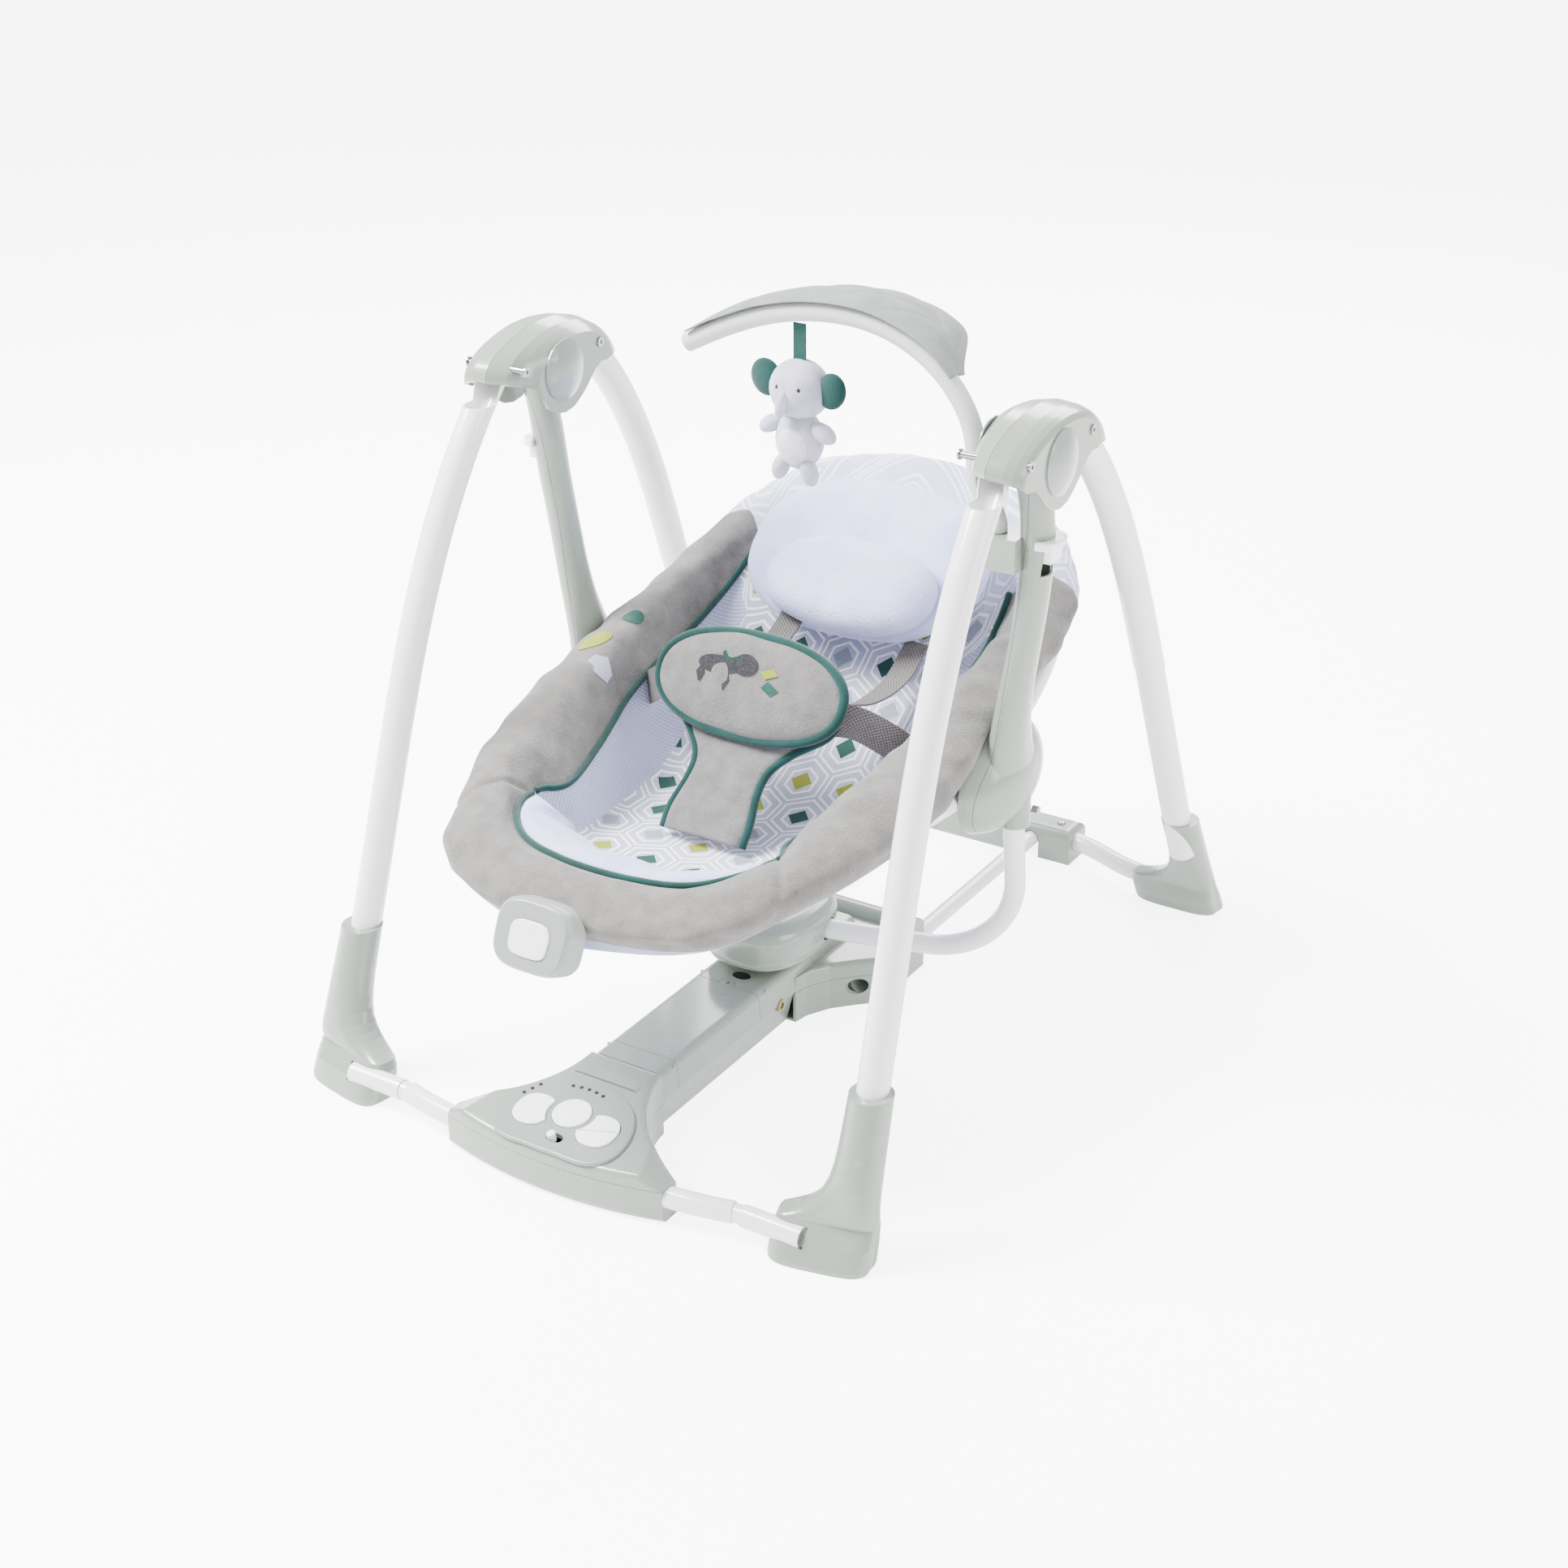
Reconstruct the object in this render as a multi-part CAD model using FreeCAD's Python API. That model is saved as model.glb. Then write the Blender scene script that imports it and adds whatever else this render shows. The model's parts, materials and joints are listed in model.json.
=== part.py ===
import FreeCAD, Part
import os
from math import sin, cos, exp, sqrt, pi, radians, hypot

# Portable baby swing.  X runs across the swing (+X is the baby's left hand),
# the control panel faces -Y, +Z is up.  The origin is on the floor, midway
# between the feet and under the seat.  All sizes are in millimetres.

# ---------------------------------------------------------------- frame sizes
PIVOT_Y = 40.0            # swing axle, fore and aft
PIVOT_Z = 582.0           # swing axle height
HOUSING_X = 244.0         # centre plane of each top housing
HOUSING_HALF = 30.5       # half the thickness of a top housing
HOUSING_WALL = 2.5
SEAM = 0.4                # open line between two moulded halves

LEG_D = 27.0              # painted steel leg tube
LEG_WALL = 1.5
SLEEVE_D = 28.6           # wider upper half of the rear leg
FOOT_X = 262.0            # leg centre line where it enters the foot
LEG_TOP_X = 246.5         # leg centre line inside the housing

FRONT_AXLE_Y = -286.0     # front cross tube, which the front legs turn on
FRONT_AXLE_Z = 22.0
CROSS_TUBE_D = 19.0
CROSS_SPIGOT_D = 16.0     # reduced end of the cross tube inside the feet
RING_X = 176.5            # open ring between fixed tube and foot tube
RING_GAP = 2.0
TUBE_STRAIGHT_X = 168.0   # the bowed tube runs straight outside this
RUN_FIT = 0.08            # radial running clearance of a turning fit
SET_FIT = 0.05            # radial clearance of a fixed fit

FRONT_FOOT_TOP = (262.0, -228.0, 136.0)
REAR_FOOT_TOP = (270.0, 348.0, 132.0)
FOOT_OUTER_X = 289.0      # outermost plane of the feet
FOOT_INNER_X = 201.0      # mouth of the stub on the feet
FOOT_SOCKET_R = 18.5      # outside radius of the socket round the leg
FOOT_DEPTH = 21.0         # half the sole, fore and aft
REAR_FOOT_Y = 424.0       # middle of the rear sole
FRONT_FOOT_TURN = 12.0    # the front sole is turned to follow the leg
FOOT_THROAT = 13.0        # how quickly the stub draws in to the socket

BOLT_Z = 594.0            # two bolts through each housing
FRONT_BOLT_Y = -15.0
REAR_BOLT_Y = 94.0
BOLT_D = 6.0
BOLT_HEAD_D = 9.0
BOLT_HEAD_T = 1.6
AXLE_D = 12.0             # swing axle
CAP_R = 27.5              # domed cap over the axle
CAP_DOME = 6.5

# ----------------------------------------------------------- rear floor frame
CROSSBAR_Y = 452.0
CROSSBAR_HALF = 115.0
CROSSBAR_DEPTH = 38.0
CROSSBAR_TOP = 36.0
CROSSBAR_WALL = 2.5
CROSSBAR_ROUND = 9.0
RAIL_X = 70.0
RAIL_Z = 20.0
RAIL_D = 16.0
RAIL_WALL = 1.2
RAIL_FRONT_Y = 104.0      # front end of a rail, inside the base head
RAIL_END_GAP = 3.0        # rail end stops short of the crossbar centre
RAIL_ARCH_GAP = 1.3       # radial room round the rail in the crossbar arch
SNAP_R = 4.0
SNAP_X = 96.0

# ------------------------------------------------------------------ base sizes
SPINE_TOP = 60.0
SPINE_HALF_TOP = 37.0
SPINE_HALF_FLOOR = 27.0
PARTING_Z = 31.0          # line between lower and upper base shells
BASE_WALL = 2.5
SPINE_ROUND = 8.0
SPINE_FRONT_Y = -228.0
SPINE_REAR_Y = 130.0
WING_HALF = 111.0
WING_REAR = [(111, -285), (98, -280), (82, -271.5), (66, -258), (52, -240), (42, -220), (37, -196)]
WING_FRONT_Y = -306.0
NOSE_Y = -322.0
NOSE_ROUND = 7.0          # rounding of the nose at the floor
WING_FALL = 26.0          # degrees the wings fall away toward their tips
WING_FALL_X = 66.0        # where the fall begins
WING_FALL_Z = 56.0
TUBE_BOW_Y = -300.0       # the front cross tube bows forward inside the base
PANEL_SLOPE = 10.0        # degrees the panel tips down toward the front
PANEL_Y = -281.0
PANEL_Z = 51.5            # panel surface at its middle
PANEL_RAISE = 3.0
BUTTON_GAP = 0.5
BUTTON_RISE = 1.8
BUTTON_R = 17.0           # round middle button
HEAD_HALF = 86.0          # half width of the anchor shaped base head
HEAD_TOP = 47.0
HEAD_FRONT_Y = 92.0
HEAD_REAR_Y = 176.0
BEAM_Y = 162.0
BEAM_TOP = 56.0
BEAM_R = 14.0
DOOR_FRONT_Y = -172.0
DOOR_REAR_Y = -40.0
CELL_R = 12.9
CELL_L = 49.0
INLET_R = 6.0
INLET_Y = -5.0

# ------------------------------------------------------------ swing arm sizes
ARM_WALL = 2.4
HUB_Y = 84.0
HUB_Z = 274.0
HUB_X_OUT = 238.0
HUB_X_IN = 201.0
HUB_HALF_Y = 66.0
HUB_HALF_Z = 50.0
BOSS_R = 21.0             # boss of the arm round the axle
BOSS_HALF = 20.0
SWING_TUBE_D = 19.0
SWING_TUBE_Z = 83.0
SWING_TUBE_Y = 62.0
SWING_TUBE_X = 221.0
SWING_TUBE_BEND = 82.0
POD_HALF_X = 50.0
POD_FRONT_Y = -26.0
POD_REAR_Y = 106.0
POD_BOTTOM = 71.0
POD_TOP = 110.0
POD_WALL = 2.5
SLIDER_Z = 500.0
SLIDER_TRAVEL = 12.0
SLIDER_HALF_Y = 15.0
SLIDER_H = 20.0

# ------------------------------------------------------------------ seat sizes
DISC_R = 36.0
DISC_T = 9.0
DISC_GAP = 1.0
SEAT_TUBE_D = 16.0
PAD_TUBE_ROOM = 1.2
VIB_W = 74.0
VIB_H = 60.0
VIB_T = 30.0
VIB_Y = -300.0
VIB_Z = 238.0
VIB_TILT = 24.0

# -------------------------------------------------------------- toy bar sizes
BAR_X = 216.0
BAR_Y = 47.0
BAR_R = 8.5
BAR_SOCKET_Z = 512.0
LEAF_DEPTH = 66.0
LEAF_T = 2.6

V = FreeCAD.Vector
X_AXIS, Y_AXIS, Z_AXIS = V(1, 0, 0), V(0, 1, 0), V(0, 0, 1)
SIDES = (("right", 1), ("left", -1))
os.makedirs("parts", exist_ok=True)


# -------------------------------------------------------------------- helpers
def save(name, *shapes):
    """Write one node: a solid, or a compound of solids that share a role."""
    shape = shapes[0] if len(shapes) == 1 else Part.makeCompound(list(shapes))
    shape.exportStep("parts/" + name + ".step")


def solid(shape):
    """The single solid held in a Boolean result (the largest, if crumbs remain)."""
    return max(shape.Solids, key=lambda s: s.Volume)


def flip(shape, side):
    """The shape itself on the right side, its mirror image on the left side."""
    return shape if side > 0 else shape.mirror(V(0, 0, 0), X_AXIS)


def box(x0, x1, y0, y1, z0, z1):
    return Part.makeBox(x1 - x0, y1 - y0, z1 - z0, V(x0, y0, z0))


def rod(axis, r, start, length):
    return Part.makeCylinder(r, length, V(*start), axis)


def closed_curve(points):
    curve = Part.BSplineCurve()
    curve.interpolate([V(*p) for p in points], PeriodicFlag=True)
    return Part.Wire([curve.toShape()])


def squircle(cx, cy, z, ax, ay, power=2.0, count=16):
    """Closed level curve: an ellipse at power 2, nearer a rectangle above it."""
    points = []
    for i in range(count):
        t = 2 * pi * i / count
        c, s = cos(t), sin(t)
        x = cx + ax * abs(c) ** (2 / power) * (1 if c >= 0 else -1)
        y = cy + ay * abs(s) ** (2 / power) * (1 if s >= 0 else -1)
        points.append((x, y, z))
    return closed_curve(points)


def path(points):
    curve = Part.BSplineCurve()
    curve.interpolate([V(*p) for p in points])
    return Part.Wire([curve.toShape()])


def bent_path(points, radius):
    """Straight runs joined by arcs of one radius, as a tube bender makes them."""
    pts = [V(*p) for p in points]
    edges, last = [], pts[0]
    for a, b, c in zip(pts, pts[1:], pts[2:]):
        u, w = (a - b).normalize(), (c - b).normalize()
        half = u.getAngle(w) / 2
        reach = radius / (sin(half) / cos(half))
        middle = b + (u + w).normalize() * (radius / sin(half) - radius)
        start, end = b + u * reach, b + w * reach
        edges.append(Part.makeLine(last, start))
        edges.append(Part.Arc(start, middle, end).toShape())
        last = end
    edges.append(Part.makeLine(last, pts[-1]))
    return Part.Wire(edges)


def along(wire, radius):
    """Round bar of one radius that follows a path."""
    edge = wire.Edges[0]
    start = edge.valueAt(edge.FirstParameter)
    tangent = edge.tangentAt(edge.FirstParameter)
    ring = Part.Wire([Part.makeCircle(radius, start, tangent)])
    return wire.makePipeShell([ring], True, False)


def tube(wire, diameter, wall):
    """Hollow tube that follows a path, open at both ends."""
    return solid(along(wire, diameter / 2).cut(along(wire, diameter / 2 - wall)))


def top_edges(shape, z_min):
    return [e for e in shape.Edges if e.BoundBox.ZMin > z_min]


# ------------------------------------------------------------------- leg curves
# Each leg is nearly straight near the foot and bends in toward the housing.
# The rows give the share of the way up and the share of the full bow.
FRONT_BOW = 31.5
FRONT_BOW_SHAPE = ((0.0, 0.0), (0.17, 0.30), (0.37, 0.71), (0.56, 1.0), (0.77, 0.91), (0.88, 0.60), (1.0, 0.0))
REAR_BOW = 43.0
REAR_BOW_SHAPE = ((0.0, 0.0), (0.18, 0.28), (0.36, 0.60), (0.53, 0.87), (0.69, 1.0), (0.84, 0.86), (0.93, 0.55), (1.0, 0.0))
FRONT_LEG_LOW = (-239.0, 92.0)
FRONT_LEG_HIGH = (-9.0, 598.0)
REAR_LEG_LOW = (361.0, 92.0)
REAR_LEG_HIGH = (88.0, 594.0)
SLEEVE_END_Z = 318.0


def leg_points(low, high, bow, shape, outward, x_low=FOOT_X):
    """Centre line from the foot to the housing, bowed outward."""
    dy, dz = high[0] - low[0], high[1] - low[1]
    chord = hypot(dy, dz)
    points = []
    for t, share in shape:
        x = x_low + (LEG_TOP_X - x_low) * t
        y = low[0] + dy * t + outward * bow * share * dz / chord
        z = low[1] + dz * t - outward * bow * share * dy / chord
        points.append((x, y, z))
    return points


front_leg_wire = path(leg_points(FRONT_LEG_LOW, FRONT_LEG_HIGH, FRONT_BOW, FRONT_BOW_SHAPE, -1))
rear_leg_wire = path(leg_points(REAR_LEG_LOW, REAR_LEG_HIGH, REAR_BOW, REAR_BOW_SHAPE, 1, REAR_FOOT_TOP[0]))


# ------------------------------------------------------------------------- feet
def foot(top, low_y, turn, leg_wire, stub):
    """L shaped foot: a flat sole and inward stub that draw in to a round socket for the leg."""
    tx, ty, tz = top
    stub_top = FRONT_AXLE_Z + CROSS_TUBE_D / 2 + 3.5
    levels = [0.0, 1.2, 4.0, 10.0, 20.0, 27.0, stub_top - 3.0, stub_top]
    levels += [stub_top + rise for rise in (1.5, 3.5, 6.5, 10.5, 16.0, 23.0, 32.0, 44.0, 58.0, 76.0)] + [tz]
    sections = []
    for z in levels:
        drawn = 1.0 - exp(-max(z - stub_top, 0.0) / FOOT_THROAT)
        soft = 2.5 * exp(-z / 1.2) + (2.0 * max(0.0, (z - 27.0) / (stub_top - 27.0)) if z <= stub_top else 2.0)
        inner = FOOT_INNER_X + (tx - FOOT_SOCKET_R - FOOT_INNER_X) * drawn + soft * (1 - drawn)
        outer = FOOT_OUTER_X - (FOOT_OUTER_X - tx - FOOT_SOCKET_R) * z / tz - 2.5 * exp(-z / 1.2)
        deep = FOOT_DEPTH + (FOOT_SOCKET_R - FOOT_DEPTH) * min(z / 60.0, 1.0) - 1.5 * exp(-z / 1.2)
        deep -= 5.0 * max(0.0, (z - 22.0) / (stub_top - 22.0)) * (1 - drawn) if z <= stub_top else 5.0 * (1 - drawn)
        x, y = (inner + outer) / 2, low_y + (ty - low_y) * z / tz
        ring = squircle(x, y, z, (outer - inner) / 2, deep, 3.6 - 1.6 * drawn)
        ring.rotate(V(x, y, z), Z_AXIS, turn * (1 - drawn))
        sections.append(ring)
    body = Part.makeLoft(sections, True, True)
    body = body.cut(along(leg_wire, LEG_D / 2 + SET_FIT))
    return solid(body.cut(stub))


stub_bore = rod(X_AXIS, CROSS_TUBE_D / 2 + SET_FIT, (FOOT_INNER_X - 20, FRONT_AXLE_Y, FRONT_AXLE_Z), 56.0)
front_foot = foot(FRONT_FOOT_TOP, FRONT_AXLE_Y + 9.0, FRONT_FOOT_TURN, front_leg_wire, stub_bore)

# The rear cross tube leaves the foot and curves back into the end of the crossbar.
rear_tube_wire = path([
    (238.0, REAR_FOOT_Y - 6.0, FRONT_AXLE_Z), (FOOT_INNER_X + 4, REAR_FOOT_Y - 5.0, FRONT_AXLE_Z),
    (178.0, REAR_FOOT_Y + 2.0, 21.5), (148.0, REAR_FOOT_Y + 16.0, 20.5),
    (CROSSBAR_HALF, CROSSBAR_Y - 1.0, RAIL_Z), (86.0, CROSSBAR_Y, RAIL_Z)])
rear_bore = along(rear_tube_wire, CROSS_TUBE_D / 2 + SET_FIT)
rear_foot = foot(REAR_FOOT_TOP, REAR_FOOT_Y, 0.0, rear_leg_wire, rear_bore)

front_stub = rod(X_AXIS, CROSS_TUBE_D / 2, (RING_X + RING_GAP / 2, FRONT_AXLE_Y, FRONT_AXLE_Z), 56.0)
front_stub = front_stub.cut(rod(X_AXIS, CROSS_SPIGOT_D / 2 + RUN_FIT,
                                (RING_X - 5, FRONT_AXLE_Y, FRONT_AXLE_Z), 70.0))

# ------------------------------------------------------------------ top housing
# Side view of the helmet shaped housing: the ridge line along its middle, and the
# lower, shorter line where the rounding meets each flat face, both front to rear.
CROWN = [(-33, 584), (-32, 592), (-25, 600), (-9, 608.5), (14, 616), (40, 620.5), (66, 620.5), (92, 615.5),
         (115, 605), (133, 590), (145, 573)]
FACE = [(-24, 576), (-23, 583), (-17, 591), (-5, 599), (14, 605.5), (38, 610.5), (60, 611), (80, 608),
        (96, 601), (108, 590.5), (114, 578)]
INNER_FACE = [(4, 578), (6, 584), (11, 590.5), (19, 597), (30, 603), (44, 608), (62, 609.5), (80, 607),
              (96, 600), (108, 590), (114, 578)]
LOBE_R = 39.0
LOWER = [(105, 575), (96, 576), (86, 571), (74, 559)]
LOBE = [(PIVOT_Y + LOBE_R * sin(radians(a)), PIVOT_Z - LOBE_R * cos(radians(a))) for a in (40, 20, 0, -20, -40)]
SKIRT = [(4, 563.5), (-4, 570.5), (-11, 572), (-18, 573)]
INNER_SKIRT = [(11.5, 560), (8.5, 567), (6.5, 572), (5, 575)]


def blend(first, second, share):
    return [(y + (fy - y) * share, z + (fz - z) * share) for (y, z), (fy, fz) in zip(first, second)]


def inset(line, gap):
    """A side view line moved inward, for the hollow inside."""
    points = []
    for i, (y, z) in enumerate(line):
        y0, z0 = line[max(i - 1, 0)]
        y1, z1 = line[min(i + 1, len(line) - 1)]
        run = hypot(y1 - y0, z1 - z0)
        points.append((y + gap * (z1 - z0) / run, z - gap * (y1 - y0) / run))
    return points


def crown_wire(x, line, rest):
    """One side view outline: a smooth crown, closed by straight runs."""
    crown = Part.BSplineCurve()
    crown.interpolate([V(x, y, z) for y, z in line])
    ends = [V(x, *line[-1])] + [V(x, y, z) for y, z in rest] + [V(x, *line[0])]
    return Part.Wire([crown.toShape()] + [Part.makeLine(p, q) for p, q in zip(ends, ends[1:])])


def rounded_shell(wall, rest=None):
    """Helmet volume, drawn in toward both ends in plan and along its crown, moved in by a wall."""
    wires = []
    for d in (-1.0, -0.97, -0.88, -0.72, -0.5, 0.0, 0.5, 0.75, 0.9, 0.97, 1.0):
        if d < 0:
            line, under = blend(CROWN, INNER_FACE, d * d), LOWER + LOBE + blend(SKIRT, INNER_SKIRT, d * d)
        else:
            line, under = blend(CROWN, FACE, 1 - sqrt(1 - d * d)), LOWER + LOBE + SKIRT
        x = HOUSING_X + d * (HOUSING_HALF - wall)
        wires.append(crown_wire(x, inset(line, wall), rest or under))
    return Part.makeLoft(wires, True, True)


HOUSING_OPEN = [(160, 480), (-55, 480)]      # the hollow is open downward
housing = rounded_shell(0.0)
housing = housing.cut(rounded_shell(HOUSING_WALL, HOUSING_OPEN))
for y in (FRONT_BOLT_Y, REAR_BOLT_Y):
    housing = housing.cut(rod(X_AXIS, BOLT_D / 2 + SET_FIT, (HOUSING_X - 40, y, BOLT_Z), 80.0))
housing = housing.cut(rod(X_AXIS, AXLE_D / 2 + SET_FIT, (HOUSING_X - 40, PIVOT_Y, PIVOT_Z), 80.0))
housing_outer = solid(housing.common(box(HOUSING_X + SEAM / 2, 300, -150, 250, 400, 700)))
housing_inner = solid(housing.common(box(150, HOUSING_X - SEAM / 2, -150, 250, 400, 700)))

# -------------------------------------------------------------------- leg tubes
bolt_hole = {y: rod(X_AXIS, BOLT_D / 2 + RUN_FIT, (HOUSING_X - 40, y, BOLT_Z), 80.0)
             for y in (FRONT_BOLT_Y, REAR_BOLT_Y)}
END_GAP = 0.5
LEG_TRIM_Z = 566.0
above = box(150, 330, -150, 250, LEG_TRIM_Z, 700).cut(rounded_shell(HOUSING_WALL + END_GAP, HOUSING_OPEN))
front_leg = solid(tube(front_leg_wire, LEG_D, LEG_WALL).cut(bolt_hole[FRONT_BOLT_Y]).cut(above))
whole_low = tube(rear_leg_wire, LEG_D, LEG_WALL)
whole_high = along(rear_leg_wire, SLEEVE_D / 2).cut(along(rear_leg_wire, LEG_D / 2 + SET_FIT))
SLEEVE_LAP = 60.0
rear_leg_lower = solid(whole_low.common(box(150, 330, 150, 480, 0, SLEEVE_END_Z + SLEEVE_LAP)))
rear_leg_upper = solid(whole_high.common(box(150, 330, 0, 480, SLEEVE_END_Z, 700)))
rear_leg_upper = solid(rear_leg_upper.cut(bolt_hole[REAR_BOLT_Y]).cut(above))

# Domed cap: a shallow slice of a ball on a short rim, on both faces.
BALL_R = (CAP_R ** 2 + CAP_DOME ** 2) / (2 * CAP_DOME)
CAP_RIM = 1.4
ball = Part.makeSphere(BALL_R, V(HOUSING_X + HOUSING_HALF + CAP_RIM + CAP_DOME - BALL_R, PIVOT_Y, PIVOT_Z))
dome = ball.common(rod(X_AXIS, CAP_R, (HOUSING_X + HOUSING_HALF + CAP_RIM, PIVOT_Y, PIVOT_Z), 20.0))
cap_outer = solid(dome.fuse(rod(X_AXIS, CAP_R, (HOUSING_X + HOUSING_HALF, PIVOT_Y, PIVOT_Z), CAP_RIM)))
cap_inner = cap_outer.mirror(V(HOUSING_X, 0, 0), X_AXIS)


def bolt(y):
    """Bolt right through a housing with a low head on each face."""
    face = HOUSING_X + HOUSING_HALF
    shank = rod(X_AXIS, BOLT_D / 2, (HOUSING_X - HOUSING_HALF, y, BOLT_Z), 2 * HOUSING_HALF)
    head = rod(X_AXIS, BOLT_HEAD_D / 2, (face, y, BOLT_Z), BOLT_HEAD_T)
    socket = Part.makePolygon([V(face + BOLT_HEAD_T - 0.9, y + 2.0 * cos(i * pi / 3), BOLT_Z + 2.0 * sin(i * pi / 3))
                               for i in range(7)])
    head = head.cut(Part.Face(socket).extrude(V(2, 0, 0)))
    return solid(shank.fuse([head, head.mirror(V(HOUSING_X, 0, 0), X_AXIS)]))


axle = rod(X_AXIS, AXLE_D / 2, (HOUSING_X - HOUSING_HALF, PIVOT_Y, PIVOT_Z), 2 * HOUSING_HALF)

# -------------------------------------------------------------------- crossbar
crossbar = box(-CROSSBAR_HALF, CROSSBAR_HALF, CROSSBAR_Y - CROSSBAR_DEPTH / 2,
               CROSSBAR_Y + CROSSBAR_DEPTH / 2, 0, CROSSBAR_TOP)
crossbar = crossbar.makeFillet(CROSSBAR_ROUND, top_edges(crossbar, CROSSBAR_TOP - 1))
inner = CROSSBAR_DEPTH / 2 - CROSSBAR_WALL
crossbar = crossbar.cut(box(-CROSSBAR_HALF + CROSSBAR_WALL, CROSSBAR_HALF - CROSSBAR_WALL,
                            CROSSBAR_Y - inner, CROSSBAR_Y + inner, -1, CROSSBAR_TOP - 3.2 * CROSSBAR_WALL)
                        .fuse(box(-CROSSBAR_HALF + 10, CROSSBAR_HALF - 10, CROSSBAR_Y - inner + 6,
                                  CROSSBAR_Y + inner - 6, -1, CROSSBAR_TOP - CROSSBAR_WALL)))
arch_r = RAIL_D / 2 + RAIL_ARCH_GAP
for side in (1, -1):
    x = side * RAIL_X
    y0 = CROSSBAR_Y - CROSSBAR_DEPTH / 2 - 1
    crossbar = crossbar.cut(rod(Y_AXIS, arch_r, (x, y0, RAIL_Z), CROSSBAR_WALL + 2))
    crossbar = crossbar.cut(box(x - arch_r, x + arch_r, y0, y0 + CROSSBAR_WALL + 2, -1, RAIL_Z))
    crossbar = crossbar.cut(rod(Z_AXIS, SNAP_R + 0.3, (side * SNAP_X, CROSSBAR_Y, 30), 20.0))
    crossbar = crossbar.cut(flip(rear_bore, side))
crossbar = solid(crossbar)

SNAP_BOTTOM = RAIL_Z + CROSS_TUBE_D / 2 + 2.8
SNAP_TOP = CROSSBAR_TOP + 2.2
snap = rod(Z_AXIS, SNAP_R, (SNAP_X, CROSSBAR_Y, SNAP_BOTTOM), SNAP_TOP - SNAP_BOTTOM)
snap = snap.makeFillet(1.8, top_edges(snap, SNAP_TOP - 0.5))

rear_tube = tube(rear_tube_wire, CROSS_TUBE_D, LEG_WALL)
rail_end = CROSSBAR_Y - RAIL_END_GAP
rail = rod(Y_AXIS, RAIL_D / 2, (RAIL_X, RAIL_FRONT_Y, RAIL_Z), rail_end - RAIL_FRONT_Y)
rail = rail.cut(rod(Y_AXIS, RAIL_D / 2 - RAIL_WALL, (RAIL_X, RAIL_FRONT_Y - 1, RAIL_Z), 400.0))

# ------------------------------------------------------------------------- base


def front_unit(inset, top):
    """Winged front of the base: a bowed nose, two wings and a sloping top."""
    w, ny, hx = WING_HALF - inset, NOSE_Y + inset, SPINE_HALF_TOP - inset
    nose = Part.Arc(V(-w, WING_FRONT_Y + inset, 0), V(0, ny, 0), V(w, WING_FRONT_Y + inset, 0)).toShape()
    sweep = [(x - inset * 0.6, y - inset * 0.8) for x, y in WING_REAR]
    sweep = [(w, WING_REAR[0][1] - inset)] + sweep[1:-1] + [(hx, WING_REAR[-1][1])]
    right, left = Part.BSplineCurve(), Part.BSplineCurve()
    right.interpolate([V(x, y, 0) for x, y in sweep])
    left.interpolate([V(-x, y, 0) for x, y in reversed(sweep)])
    outline = Part.Wire([nose, Part.makeLine(V(w, WING_FRONT_Y + inset, 0), V(w, sweep[0][1], 0)), right.toShape(),
                         Part.makeLine(V(hx, sweep[-1][1], 0), V(-hx, sweep[-1][1], 0)), left.toShape(),
                         Part.makeLine(V(-w, sweep[0][1], 0), V(-w, WING_FRONT_Y + inset, 0))])
    block = Part.Face(outline).extrude(V(0, 0, 90))
    foot = [e for e in block.Edges if e.BoundBox.ZMax < 0.1 and e.BoundBox.XLength > WING_HALF and e.BoundBox.YLength > 1
            and e.BoundBox.YMax < WING_FRONT_Y + 5]
    block = block.makeFillet(NOSE_ROUND - inset, foot)
    block.translate(V(0, 0, inset))
    slab = box(-200, 200, -400, 100, 0, 100)
    slab.rotate(V(0, 0, 0), X_AXIS, PANEL_SLOPE)
    slab.translate(V(0, PANEL_Y, top))
    block = block.cut(slab)
    for side in (1, -1):
        fall = box(0, 120, -400, 100, 0, 100)
        fall.rotate(V(0, 0, 0), Y_AXIS, WING_FALL)
        fall.translate(V(WING_FALL_X, 0, WING_FALL_Z - inset))
        block = block.cut(flip(fall, side))
    return solid(block)


def spine(inset):
    """Long middle of the base: narrow at the floor, wider at the top."""
    ht, hf = SPINE_HALF_TOP - inset, SPINE_HALF_FLOOR - inset
    z_low = inset
    top = SPINE_TOP - inset
    pts = [(-hf, z_low), (hf, z_low), (ht - 2, PARTING_Z), (ht, PARTING_Z + 2), (ht - 1.5, top), (-ht + 1.5, top),
           (-ht, PARTING_Z + 2), (-ht + 2, PARTING_Z)]
    y0 = SPINE_FRONT_Y + inset
    ring = Part.makePolygon([V(x, y0, z) for x, z in pts + pts[:1]])
    body = Part.Face(ring).extrude(V(0, SPINE_REAR_Y - inset - y0, 0))
    if inset == 0:
        crest = [e for e in body.Edges if e.BoundBox.ZMin > top - 1 and e.Length > 100]
        body = body.makeFillet(SPINE_ROUND, crest)
    return body


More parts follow.
